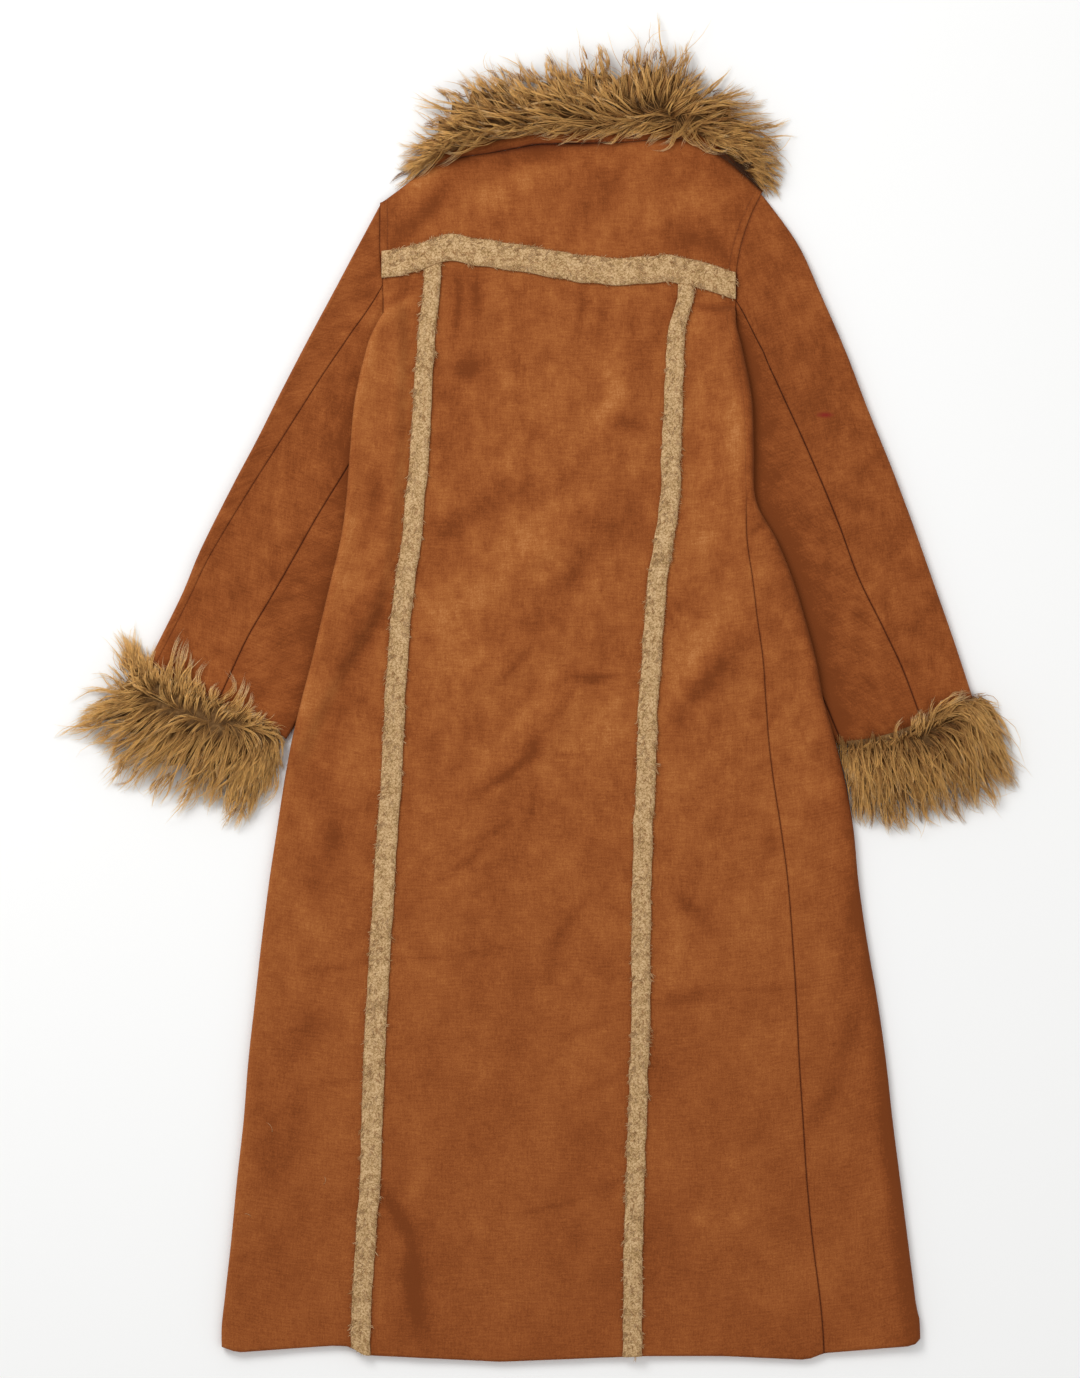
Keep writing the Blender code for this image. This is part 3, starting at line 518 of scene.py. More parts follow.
def armhole(up, side):
    """Place across of an armhole's seam: straight on the left, bowed out to the shoulder on the right."""
    if side < 0:
        return np.interp(up, ARMHOLE_LEFT["up"], ARMHOLE_LEFT["across"])
    bow = SHOULDER_BOW * np.clip((up - BOW_START) / BOW_LENGTH, 0.0, None) ** 2
    return np.interp(up, ARMHOLE_RIGHT["up"], ARMHOLE_RIGHT["across"]) + bow


def column(values, at):
    """A body column at fractional rows: straight lines beside the armhole, a smooth curve below it."""
    straight = np.interp(at, np.arange(len(values)), values)
    smooth = through(np.asarray(values)[OPEN_ROWS:], np.clip(at - OPEN_ROWS, 0, None))
    return np.where(at < OPEN_ROWS, straight, smooth)


def row_up(at, across):
    """Height up of a row: the first rows follow the yoke seam, the last two the hem."""
    heights = BODY["up"].copy()
    strip_edge = YOKE_UP - YOKE_STRIP_WIDTH / 2
    heights[:3] = YOKE_UP - SEAM_GAP / 2, strip_edge, (strip_edge + OPEN_UP) / 2
    yoke_share = np.interp(at, (0, 1, 2, 3), (1.0, 1.0, 0.5, 0.0))
    hem_share = np.interp(at, (LAST_ROW - 2, LAST_ROW - 1, LAST_ROW), (0.0, 1.0, 1.0))
    along_yoke = yoke_share * (curve(YOKE_SEAM, across) - YOKE_UP)
    along_hem = hem_share * (curve(HEM, across, 4.0) - HEM_UP)
    return column(heights, at) + along_yoke + along_hem


def at_height(up):
    """Row number of a height up."""
    return np.interp(-np.asarray(up, dtype=float), -BODY["up"], np.arange(LAST_ROW + 1))


def side_line(at, side):
    """Place across of a side: the armhole's seam in the open rows, the fold below them."""
    table = column(BODY["left" if side < 0 else "right"], at)
    open_up = row_up(at, table)
    return np.where(at < OPEN_ROWS, armhole(open_up, side) - side * ARMHOLE_GAP / 2, table)


def fold_share(at):
    """0 where the sides are open, 1 where they are folds."""
    return np.clip(at - (OPEN_ROWS - 1), 0.0, 1.0)


def under_height(at, across):
    """Underside of the body: on the floor, or up on the sleeve that is tucked under a side."""
    from_left = across - column(BODY["left"], at) - column(BODY["tuck_left"], at) - TUCK_CLEAR
    from_right = column(BODY["right"], at) - across - column(BODY["tuck_right"], at) - TUCK_CLEAR
    lift = np.clip(column(BODY["lift"], at), 0, SLEEVE_LIFT)
    return lift * (ease(from_left / RAMP_LEFT) + ease(from_right / RAMP_RIGHT))


def top_height(at, across, up):
    """Top of the body: two layers, the air between them, fuller at the folds, plus folds and creases."""
    nearest = np.minimum(across - column(BODY["left"], at), column(BODY["right"], at) - across)
    swell = fold_share(at) * (FOLD_HEIGHT - FLAT_HEIGHT) * np.exp(-np.clip(nearest, 0, None) / FOLD_SOFTNESS)
    folds = ridges(FOLDS, across, up) + ridges(BACK_CREASES, across, up)
    uneven = 0.45 * ripple(across, up, 70.0, 3) + 0.22 * ripple(across, up, 26.0, 4)
    return under_height(at, across) + FLAT_HEIGHT + swell + fold_share(at) * (folds + uneven)


ROW_STEP = 5.4
open_rows = np.linspace(0, OPEN_ROWS, 13)[:-1]
closed_rows = at_height(np.linspace(OPEN_UP, HEM_UP, int((OPEN_UP - HEM_UP) / ROW_STEP)))
rows = np.concatenate([open_rows, closed_rows])[:, None]
is_open = rows[:-1, 0] < OPEN_ROWS - 1 - 1e-6
is_foot = ~is_open & (rows[:-1, 0] < OPEN_ROWS - 1e-6)
print("Body rows:", len(rows), "with a step of", ROW_STEP, "mm")

# %% [markdown]
# ## Panels of the back
#
# The back is cut in four: a yoke, two side panels and a centre one, plus the front, which wraps round the
# right side fold. A seam shows as a thin dark groove, because the two edges are turned in and stitched, and
# the cloth is tinted darker along it, partly as painted shade in the groove. So a panel gets extra columns
# close to a seam that shows, where its top dips on a bell of the distance.

# %% Seams, tone and the back's panels
ARC = np.radians(np.linspace(90, -90, 13)[1:])
NEAR_SEAM = (0.7, 1.4, 2.2, 3.2, 4.6)
SEAM_DEPTH, SEAM_REACH = 1.2, 0.95
SEAM_SHOWS = named("up share", [(300, 0.8), (600, 0.72), (885, 0.6), (912, 0.0)])
# Patches of lighter and darker nap, together with painted highlights and painted shadows along folds and
# creases and the painted shadow line under the collar.
NAP_AND_SHADE_PATCHES = named(FOLD_COLUMNS, [
    (-115, 1213, 48, 46, 10, -1.5, 4), (-120, 1243, 45, 40, 11, 0.8, 0), (-50, 1225, 20, 55, 16, 0.8, 5),
    (60, 1222, 60, 30, 22, -0.7, 4), (88, 1240, 10, 24, 14, -0.6, 0), (145, 1213, 12, 50, 14, 0.5, 3),
    (160, 1181, -20, 30, 14, -1.0, 4), (193, 1162, -50, 15, 5, -0.9, 0), (-10, 1262, 4, 60, 6, -0.9, 4),
    (-180, 1040, 82, 80, 14, 1.1, -4), (-175, 905, 86, 50, 10, -0.6, 4), (-183, 775, 60, 50, 19, -1.2, 5),
    (-214, 680, 75, 62, 13, -1.0, 4), (-215, 545, 62, 50, 17, -0.9, -5), (-202, 622, 80, 30, 14, 0.5, 0),
    (-225, 412, 6, 42, 4, -0.8, 2), (-246, 350, 60, 34, 14, -0.6, 4), (-200, 365, 80, 26, 12, 0.7, 0),
    (-265, 346, 8, 30, 3, -0.5, 1), (-222, 292, 6, 36, 3, -0.6, 2), (-255, 258, 88, 36, 8, -0.6, 3),
    (-280, 208, 80, 36, 16, -0.6, 4), (-265, 130, 60, 30, 12, -0.4, 3), (-86, 1110, 88, 32, 4, -1.3, 2),
    (-68, 1122, 86, 20, 5, -1.3, 1), (-64, 1098, 80, 18, 7, -0.8, 2), (-75, 1040, 20, 14, 12, -1.5, 2),
    (-92, 975, 85, 42, 18, -0.8, 5), (-75, 885, 32, 46, 13, -0.9, -4), (-15, 850, 60, 50, 28, 0.5, 6),
    (-90, 800, 10, 50, 26, 0.3, 4), (-5, 975, 70, 14, 5, -0.9, 2), (-15, 925, 80, 18, 9, -0.8, 3),
    (43, 1108, 84, 25, 4, -0.9, 2), (62, 1078, 86, 28, 7, -0.6, -2), (82, 1075, 84, 50, 11, 0.6, 4),
    (74, 1008, 70, 34, 16, 0.8, 4), (111, 1050, 70, 60, 9, -0.9, -4), (95, 984, -20, 16, 5, -1.3, 1),
    (76, 880, 42, 30, 20, -0.9, 4), (34, 825, 45, 32, 12, -1.1, 3), (0, 775, 15, 42, 12, -0.9, -4),
    (45, 905, 35, 40, 14, 0.5, 3), (-28, 728, 43, 28, 5, -1.0, 2), (-95, 730, 0, 32, 16, 0.5, 2),
    (60, 717, 2, 24, 4, -1.5, 2), (18, 682, 55, 36, 6, -1.0, 2), (-6, 641, 42, 19, 9, -1.1, 1),
    (-38, 614, 35, 24, 5, -1.5, 2), (26, 637, -5, 16, 3, -0.9, 1), (-75, 527, 35, 40, 5, -0.8, 2),
    (-45, 558, 35, 18, 4, -0.9, 1), (-8, 690, 50, 50, 8, 0.6, 3), (60, 670, 45, 40, 8, 0.4, 3),
    (-10, 580, 85, 25, 4, -0.8, 2), (60, 575, 110, 16, 5, -0.8, 1), (26, 452, 62, 40, 7, -0.7, -6),
    (-24, 365, 85, 46, 10, -0.6, 4), (-125, 424, 2, 36, 3, -0.6, 1), (-60, 430, 12, 25, 3, -0.5, 1),
    (60, 290, 25, 26, 5, -0.6, 2), (50, 350, 20, 26, 6, -0.5, 2), (-150, 155, 122, 30, 7, -1.5, 2),
    (-132, 82, 95, 46, 9, -1.7, -4), (-130, 182, 60, 20, 9, 0.7, 2), (-168, 60, 92, 40, 5, 0.5, 1),
    (12, 163, 14, 36, 3, -0.7, 3), (75, 185, 25, 16, 5, -0.7, 1), (-146, 1119, 37, 24, 4, -0.9, 3),
    (-152, 1105, 42, 26, 8, 0.7, 3), (227, 873, 38, 12, 4, -1.5, 1), (5, 1271, 4, 30, 5, -1.4, 1),
    (-92, 1258, 20, 12, 4, -1.6, 1), (180, 1105, -5, 18, 5, -1.4, 1), (150, 1112, 60, 14, 8, -0.8, 1),
    (203, 985, 94, 64, 11, 1.0, 4), (190, 1000, 60, 16, 6, -0.4, 4), (168, 850, 70, 30, 22, 0.6, 4),
    (168, 748, 60, 60, 13, 0.9, 4), (174, 712, 50, 58, 13, -1.4, -4), (160, 472, -45, 46, 6, -0.9, -6),
    (141, 430, 80, 30, 13, 0.7, 2), (150, 382, 10, 26, 8, -0.8, 2), (220, 391, 2, 60, 3, -0.4, 1),
    (122, 310, 30, 18, 12, -0.6, 2), (166, 150, 0, 13, 9, 0.8, 0), (205, 150, 0, 12, 7, 0.6, 1),
    (230, 64, -30, 14, 5, 0.6, 1), (240, 545, 80, 15, 7, -0.8, 1), (326, 455, 82, 62, 12, -0.8, 3),
    (328, 360, 75, 40, 10, -0.8, 3), (300, 275, 60, 36, 9, -0.8, 3), (371, 190, 96, 175, 9, -1.2, 3),
    (348, 420, 100, 60, 8, -0.6, 2),
])
ARMHOLE_FOOT = 1108.0
# Painted shadow on a sleeve beside the body: its reach and its depth on each side, and a broad one that grows
# down the right sleeve.
SHADE_REACH, SHADE_DEPTH = 15.0, {-1: 0.9, 1: 1.5}
BROAD_REACH, BROAD_DEPTH, BROAD_START, BROAD_GROWTH = 45.0, 0.5, 920.0, 150.0
# Painted light and shade at the side folds: lighter on the left, darker on the right.
TURN_REACH, TURN_SHADE = 9.0, {-1: 0.4, 1: -0.9}


def tone_and_shade(across, up):
    """Lightness at a place: lighter at the yoke, darker at the hem and on the sleeves, with placed patches of
    lighter and darker nap and painted highlights and shadows along folds and creases.
    """
    on_sleeve = np.clip((np.abs(across - 20) - 150 - 0.25 * np.clip(1140 - up, 0, None)) / 20, 0, 1)
    overall = np.interp(up, (0, 300, 700, 900, 1250), (-0.42, -0.2, 0.02, 0.0, -0.1)) - 0.42 * on_sleeve
    return overall + 0.8 * ridges(NAP_AND_SHADE_PATCHES, across, up) + 0.12 * ripple(across, up, 140.0, 9)


def worn(up):
    """How much the nap is brushed and marked: most over the shoulders and seat, least at the hem."""
    return np.interp(up, (0, 350, 620, 760, 1250), (0.3, 0.45, 0.85, 1.0, 1.0))


def body_shade(across, up, side):
    """Painted shadow on a sleeve beside the body that lies on it: a falling curve of the distance."""
    beyond = np.clip(side * (across - side_line(at_height(up), side)), 0, None)
    below_armhole = 1 - ease((ARMHOLE_FOOT - up) / 40.0)
    grown = (side > 0) * np.clip((BROAD_START - up) / BROAD_GROWTH, 0, 1)
    broad = grown * BROAD_DEPTH * np.exp(-beyond / BROAD_REACH)
    return -below_armhole * SHADE_DEPTH[side] * np.exp(-beyond / SHADE_REACH) - broad


def turn_shade(across, up, side):
    """Painted light and shade at a side fold: lighter where it turns to the light on the left, darker on the
    right.
    """
    inside = np.clip(side * (side_line(at_height(up), side) - across), 0, None)
    open_above = 1 - ease((ARMHOLE_FOOT - up) / 60.0)
    return TURN_SHADE[side] * open_above * np.exp(-inside / TURN_REACH)


def pinched(distance):
    """How far the cloth is drawn into a seam and tinted darker, partly as painted shade: a bell of the
    distance from its line.
    """
    return np.exp(-((distance / SEAM_REACH) ** 2))


def flat_points(at, across, top=True, seam=None):
    """Points, outward normals and seam pinch of flat cloth on the body's top or underside."""
    up = row_up(at, across)
    height = top_height(at, across, up) if top else under_height(at, across)
    pinch_and_shade = np.zeros(np.broadcast(at, across).shape)
    if seam is not None:
        pinch_and_shade = np.interp(up, SEAM_SHOWS["up"], SEAM_SHOWS["share"]) * pinched(across - seam)
    points = np.stack(np.broadcast_arrays(across, up, height - SEAM_DEPTH * pinch_and_shade), axis=-1)
    return points, facing(points, top), pinch_and_shade


def fold_points(at, side):
    """Points, normals and pinch round a side fold: half an ellipse from the top to the underside."""
    radius = FOLD_RADIUS * fold_share(at)
    middle = side_line(at, side) - side * radius
    low = under_height(at, middle)
    high = top_height(at, middle, row_up(at, middle))
    across = middle + side * radius * np.cos(ARC)
    height = (low + high) / 2 + (high - low) / 2 * np.sin(ARC)
    points = np.stack(np.broadcast_arrays(across, row_up(at, across), height), axis=-1)
    normal = np.stack(np.broadcast_arrays(side * np.cos(ARC), 0 * across, np.sin(ARC)), axis=-1)
    return points, normal, np.zeros(across.shape)


def join(*grids, axis=1):
    """Grids of points, normals and pinch side by side, or with axis 0 one above the other."""
    return tuple(np.concatenate(parts, axis=axis) for parts in zip(*grids))


def suede_piece(name, node, grid, keep=None, shade=lambda across, up: 0.0):
    """A suede wall that stands for its CAD node: the grid, and the same grid moved in along its normals."""
    outer, normal, pinch_and_shade = grid
    points, used, faces = close_grids(outer, outer - CLOTH * normal, keep)
    places = outer[..., 0], outer[..., 1]
    # The nap tone also takes the piece's own painted light and shade.
    layers = {"tone_and_shade": tone_and_shade(*places) + shade(*places), "pinch_and_shade": pinch_and_shade, "worn": worn(places[1])}
    both = {layer: np.tile(np.ravel(values), 2)[used] for layer, values in layers.items()}
    cut = np.tile(flat_cut(outer).reshape(-1, 2), (2, 1))[used]
    piece = make_piece(name, points[used], faces, suede, "suede", both, cut)
    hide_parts(node)
    return piece


HALF_GAP = SEAM_GAP / 2
fold_in = FOLD_RADIUS * fold_share(rows)
left_fold = side_line(rows, -1) + fold_in
right_fold = side_line(rows, 1) - fold_in
seam_left = column(BODY["strip_left"], rows)
seam_right = column(BODY["strip_right"], rows)
side_seam = side_line(rows, 1) - np.maximum(column(BODY["seam_in"], rows), fold_in)
hidden_seam = left_fold + 0.2 * (seam_left - STRIP_WIDTH / 2 - left_fold)
seam_shown = np.interp(row_up(rows, side_seam), SEAM_SHOWS["up"], SEAM_SHOWS["share"])
side_gap = HALF_GAP * np.clip(seam_shown, 0.1, 1)
centre_front = (column(BODY["left"], rows) + column(BODY["right"], rows)) / 2
print("Right side seam lies", np.round(np.ptp(side_seam - seam_right)), "mm further out at the hem")

# %% Back panels
left_columns = spread(seam_left - HALF_GAP, left_fold, 18)
under_columns = spread(left_fold, hidden_seam - HALF_GAP, 3)[:, 1:]
left_grid = join(
    flat_points(rows, left_columns), fold_points(rows, -1), flat_points(rows, under_columns, top=False))
left_keep = np.ones((len(rows) - 1, left_grid[0].shape[1] - 1), dtype=bool)
left_keep[is_open, left_columns.shape[1] - 1:] = False
left_keep[is_foot, left_columns.shape[1] - 1 + len(ARC):] = False
suede_piece(
    "left_back_panel", "back_left", left_grid, left_keep, lambda *at: turn_shade(*at, -1))

centre_columns = spread(seam_left + HALF_GAP, seam_right - HALF_GAP, 44)
suede_piece("centre_back_panel", "back_centre", flat_points(rows, centre_columns))

right_columns = spread(seam_right + HALF_GAP, side_seam - side_gap, 20, (), NEAR_SEAM)
right_grid = flat_points(rows, right_columns, seam=side_seam)
suede_piece(
    "right_back_panel", "back_right", right_grid, shade=lambda *at: turn_shade(*at, 1))

# %% [markdown]
# ## The fronts, underneath
#
# The coat lies on its fronts. They are flat on the floor, apart from where a sleeve lifts them and a few
# shallow creases. The right front wraps round the right fold and shows as a long wedge beside the side
# seam. The photo hides how the fronts fasten, so they meet plainly at the centre.

# %% Fronts
FRONT_CREASES = named(FOLD_COLUMNS, [
    (-90, 900, 70, 70, 14, 0.7, 6), (120, 820, 110, 80, 16, 0.8, -7), (-160, 560, 80, 90, 16, 0.7, 8),
    (60, 520, 86, 80, 14, 0.7, -6), (210, 430, 76, 90, 18, 0.8, 7), (-60, 300, 84, 90, 16, 0.7, 6),
    (150, 200, 80, 80, 16, 0.8, -6), (-220, 180, 82, 70, 14, 0.7, 5), (60, 1120, 20, 60, 12, 0.6, 5),
    (-70, 1130, 150, 50, 12, 0.6, -4), (-120, 740, 60, 50, 12, 0.6, 5), (280, 260, 84, 60, 14, 0.7, 4),
])
NECK_DROP, NECK_SPREAD, SHOULDER_INSET = 70.0, 90.0, 3.0
shoulder_rows = np.linspace(1, 0, 15)[:-1, None]


def front_shoulder(share, side, columns):
    """A front above the yoke seam: straight rows from armhole to centre, under a lower neckline."""
    middle = centre_front[0, 0]
    shoulder = NECK["up"][0 if side < 0 else -1]
    inset = ARMHOLE_GAP + SHOULDER_INSET * share
    start = armhole(YOKE_UP + share * (shoulder - YOKE_UP), side) - side * inset
    across = start + np.linspace(0, 1, columns) * (middle + side * HALF_GAP - start)
    low = curve(YOKE_SEAM, across)
    drop = NECK_DROP * np.exp(-(((across - middle) / NECK_SPREAD) ** 2)) + SHOULDER_INSET
    up = low + share * (curve(NECK, across) - drop - low)
    return under_sheet(across, up, np.zeros_like(up))


def under_sheet(across, up, height):
    """Points, downward normals and pinch of cloth underneath, with its shallow creases."""
    creased = height + np.clip(ridges(FRONT_CREASES, across, up), 0, None)
    points = np.stack(np.broadcast_arrays(across, up, creased), axis=-1)
    return points, facing(points, False), np.zeros(points.shape[:2])


def underside(columns):
    """The body's underside at columns of places across."""
    return under_sheet(columns, row_up(rows, columns), under_height(rows, columns))


left_start = (1 - fold_share(rows)) * side_line(rows, -1) + fold_share(rows) * (hidden_seam + HALF_GAP)
left_front_columns = spread(left_start, centre_front - HALF_GAP, 16)
left_shoulder = front_shoulder(shoulder_rows, -1, left_front_columns.shape[1])
suede_piece("left_front", "front_left", join(left_shoulder, underside(left_front_columns), axis=0))

wrap_columns = spread(side_seam + side_gap, right_fold, 10, NEAR_SEAM, ())
below_columns = spread(right_fold, centre_front + HALF_GAP, 18)[:, 1:]
body_part = join(
    flat_points(rows, wrap_columns, seam=side_seam), fold_points(rows, 1), underside(below_columns))
spare = wrap_columns.shape[1] + len(ARC) - 1
shoulder_part = front_shoulder(shoulder_rows, 1, below_columns.shape[1] + 1)
beside = tuple(np.repeat(part[:, :1], spare, axis=1) for part in shoulder_part)
right_front_grid = join(join(beside, shoulder_part), body_part, axis=0)
right_keep = np.ones((right_front_grid[0].shape[0] - 1, right_front_grid[0].shape[1] - 1), dtype=bool)
right_keep[:len(shoulder_rows) + is_open.sum(), :spare] = False
suede_piece(
    "right_front", "front_right", right_front_grid, right_keep, shade=lambda *at: turn_shade(*at, 1))

# %% [markdown]
# ## The yoke
#
# The yoke runs from the neck and shoulders to the seam under the wide pile strip. A line of topstitching
# runs beside each armhole: a second, shallower groove. The yoke sags a little between the shoulders, so
# it has broad folds of its own.

# %% Yoke
YOKE_FOLDS = named(FOLD_COLUMNS, [
    (-114, 1200, 58, 40, 12, -1.6, 5), (-96, 1222, 40, 34, 14, 1.2, 4), (-136, 1186, 70, 26, 10, 1.0, 0),
    (48, 1216, 12, 60, 22, 0.9, 8), (150, 1186, 60, 40, 18, -1.1, 5), (176, 1204, 64, 26, 10, 0.8, 3),
    (-20, 1188, 4, 60, 16, -0.7, 6), (-60, 1236, 12, 40, 8, -0.8, 3), (100, 1250, 8, 40, 9, 0.6, 3),
    (10, 1256, 4, 50, 7, -0.6, 2),
])
# How strong the painted shadow at the neck seam is, from left to right.
NECK_SHADE = named("across share", [(-100, 0.1), (-55, 0.6), (-5, 1.0), (48, 1.0), (75, 0.5), (110, 0.2)])
TOPSTITCH_IN = 8.0
YOKE_NEAR = (0.7, 1.4, 2.4, 4.2, 6.0, 7.0, 8.0, 9.0, 10.2, 12.5)
falls = np.linspace(0, 1, 28)[:, None]
yoke_top = np.array([NECK["across"][0] + SEAM_GAP, NECK["across"][-1] - SEAM_GAP])
yoke_bottom = np.array([left_columns[0, -1], right_columns[0, -1]])
ends = yoke_top + falls * (yoke_bottom - yoke_top)
yoke_across = spread(ends[:, 0], ends[:, 1], 66, YOKE_NEAR, YOKE_NEAR)
yoke_share = (yoke_across - ends[:, :1]) / (ends[:, 1:] - ends[:, :1])
top_across = yoke_top[0] + yoke_share * (yoke_top[1] - yoke_top[0])
bottom_across = yoke_bottom[0] + yoke_share * (yoke_bottom[1] - yoke_bottom[0])
neck_up = curve(NECK, top_across)
yoke_up = neck_up + falls * (curve(YOKE_SEAM, bottom_across) + HALF_GAP - neck_up)
left_slip = armhole(yoke_up[:, :1], -1) + ARMHOLE_GAP / 2 - yoke_across[:, :1]
right_slip = armhole(yoke_up[:, -1:], 1) - ARMHOLE_GAP / 2 - yoke_across[:, -1:]
yoke_across = yoke_across + (1 - yoke_share) ** 4 * left_slip + yoke_share**4 * right_slip


def armhole_pinch(across, up):
    """Pinch beside the armholes: the seam itself and its topstitching."""
    distances = across - armhole(up, -1), armhole(up, 1) - across
    return sum(0.5 * pinched(far) + 0.3 * pinched(far - TOPSTITCH_IN) for far in distances)


def neck_shade(across):
    """How strong the painted shadow at the neck seam under the collar is: strongest left of the middle."""
    return np.interp(across, NECK_SHADE["across"], NECK_SHADE["share"])


yoke_pinch_and_shade = armhole_pinch(yoke_across, yoke_up)
# Painted shadow at the neck seam under the collar, carried by the seam pinch, which also lowers the cloth
# there.
yoke_pinch_and_shade = np.maximum(yoke_pinch_and_shade, neck_shade(yoke_across) * np.exp(-((neck_up - yoke_up) / 4.0) ** 2))
yoke_edge = np.clip(np.minimum(falls, 1 - falls) * 12, 0, 1)
yoke_folds = ridges(YOKE_FOLDS, yoke_across, yoke_up) + 0.35 * ripple(yoke_across, yoke_up, 50.0, 5)
neck_roll = 0.7 * np.exp(-((neck_up - yoke_up) / 3.0) ** 2)
yoke_height = FLAT_HEIGHT + yoke_edge * yoke_folds - SEAM_DEPTH * yoke_pinch_and_shade - neck_roll
yoke_points = np.stack([yoke_across, yoke_up, yoke_height], axis=-1)
suede_piece("yoke_panel", "back_yoke", (yoke_points, facing(yoke_points), yoke_pinch_and_shade))

# %% [markdown]
# ## The sleeves
#
# A laid sleeve is a flat tube. Lines across it run from its outer fold to its inner one, and a table
# gives both ends of each. The top sleeve wraps round both folds and the undersleeve lies between its two
# seams, so the coat's back shows both seams. The body lies on the inner side, and there the sleeve stays
# smooth.

# %% Sleeves
SLEEVE_COLUMNS = "outer_across outer_up inner_across inner_up back front fold"
SLEEVE_LEFT = named(SLEEVE_COLUMNS, [
    (-168, 1213, -160, 988, 84, 178, 7.4),
    (-197, 1159, -159, 966, 63, 149, 9.5),
    (-215, 1125, -162, 938, 52, 139, 10.5),
    (-245, 1069, -165, 893, 39, 126, 11.0),
    (-273, 1015, -170, 853, 30, 112, 11.0),
    (-297, 967, -178, 818, 23, 102, 11.0),
    (-323, 918, -192, 784, 18, 97, 11.0),
    (-356, 852, -214, 741, 12, 90, 11.0),
    (-377, 802, -238, 699, 9, 83, 10.5),
    (-415, 726, -266, 653, 8, 84, 10.5),
])
SLEEVE_RIGHT = named(SLEEVE_COLUMNS, [
    (233, 1225, 203, 1004, 113, 212, 7.4),
    (270, 1173, 204, 962, 119, 209, 9.5),
    (294, 1121, 205, 923, 107, 206, 10.5),
    (321, 1059, 212, 883, 95, 195, 11.0),
    (344, 999, 223, 839, 86, 189, 11.0),
    (368, 940, 237, 793, 82, 184, 11.0),
    (391, 879, 257, 747, 80, 176, 11.0),
    (414, 814, 280, 701, 70, 162, 11.0),
    (434, 757, 297, 671, 62, 152, 10.5),
    (455, 693, 312, 647, 58, 143.5, 10.5),
])
SLEEVE_CREASES = named(FOLD_COLUMNS, [
    (-234, 837, -30, 20, 4, -1.2, 3), (-247, 768, -30, 14, 4, -1.0, 2), (-286, 727, -22, 20, 5, -1.1, 3),
    (-300, 880, 70, 50, 14, 1.2, 6), (-262, 950, 66, 50, 12, -1.0, 5), (-230, 1030, 62, 40, 12, 1.0, 4),
    (-336, 790, 60, 34, 10, 0.9, 3), (-196, 1100, 60, 34, 10, -0.9, 3), (-184, 1040, 80, 30, 8, 0.8, 2),
    (355, 837, 2, 34, 5, -1.2, 3), (300, 808, 10, 30, 6, -1.0, 3), (348, 771, 16, 18, 5, -0.9, 2),
    (228, 1096, 66, 14, 5, -1.2, 2), (236, 1126, 60, 20, 8, 1.0, 2), (320, 940, 115, 50, 14, 1.1, 6),
    (280, 1010, 118, 44, 12, -0.9, 5), (380, 800, 110, 40, 10, 0.9, 4), (300, 900, 112, 40, 10, -0.9, 4),
    (260, 1150, 130, 30, 12, 0.9, 3), (402, 740, 112, 30, 9, -0.8, 3),
])
SLEEVE_ROWS, END_BOW = 104, 9.0
# How clearly each seam shows: the back one at the shoulder, the elbow and the cuff
BACK_SEAM_SHOWS, FRONT_SEAM_SHOWS = {-1: (0.85, 0.7, 0.3), 1: (0.95, 0.95, 0.85)}, 0.85


def sleeve_lines(table, side):
    """Lines across a sleeve: row number, outer end, direction, width, seams and fold height."""
    last = len(table["fold"]) - 1
    at = np.linspace(0, last, SLEEVE_ROWS)[:, None]
    column_at = {key: through(values, at) for key, values in table.items()}
    start = np.stack([column_at["outer_across"], column_at["outer_up"]], axis=-1)
    end = np.stack([column_at["inner_across"], column_at["inner_up"]], axis=-1)
    width = np.linalg.norm(end - start, axis=-1)
    swell = column_at["fold"] - FLAT_HEIGHT
    seams = column_at["back"], column_at["front"]
    shows = np.interp(at / last, (0.0, 0.5, 1.0), BACK_SEAM_SHOWS[side]), FRONT_SEAM_SHOWS
    return {
        "at": at, "last": last, "side": side, "start": start, "way": (end - start) / width[..., None],
        "width": width, "seams": seams, "shows": shows, "swell": swell,
    }


def end_bow(share):
    """How far the right sleeve's end bows down: half a sine wave, fuller near the inner fold."""
    return END_BOW * np.sin(np.pi * np.clip(share, 0, 1) ** 1.4)


def sleeve_places(lines, distance):
    """Places across and up at distances along the lines. The first line follows the armhole."""
    flat = lines["start"] + distance[..., None] * lines["way"]
    share = distance / lines["width"]
    first = lines["start"][0] + share[..., None] * (lines["way"][0] * lines["width"][0, 0])
    seam = armhole(first[..., 1], lines["side"]) + lines["side"] * ARMHOLE_GAP / 2
    to_armhole = np.clip(1 - lines["at"], 0, 1)
    bow = np.clip(lines["at"] - lines["last"] + 1, 0, 1) ** 2 * end_bow(share) * (lines["side"] > 0)
    across = flat[..., 0] + to_armhole * (seam - first[..., 0]) - bow * lines["way"][..., 1]
    return across, flat[..., 1] + bow * lines["way"][..., 0]


def sleeve_top(lines, distance):
    """Top of the laid sleeve: fuller at its outer fold, creased where the body doesn't cover it."""
    across, up = sleeve_places(lines, distance)
    side = lines["side"]
    bare = 1 - ease((side * (across - side_line(at_height(up), side)) - 2) / 14)
    bare = bare * np.clip(lines["at"] / 0.4, 0, 1)
    uneven = 0.5 * ripple(across, up, 44.0, 6) + 0.2 * ripple(across, up, 20.0, 7)
    folds = ridges(SLEEVE_CREASES, across, up) + uneven
    return FLAT_HEIGHT + np.clip(lines["swell"], 0, None) * np.exp(-distance / SLEEVE_SOFTNESS) + bare * folds


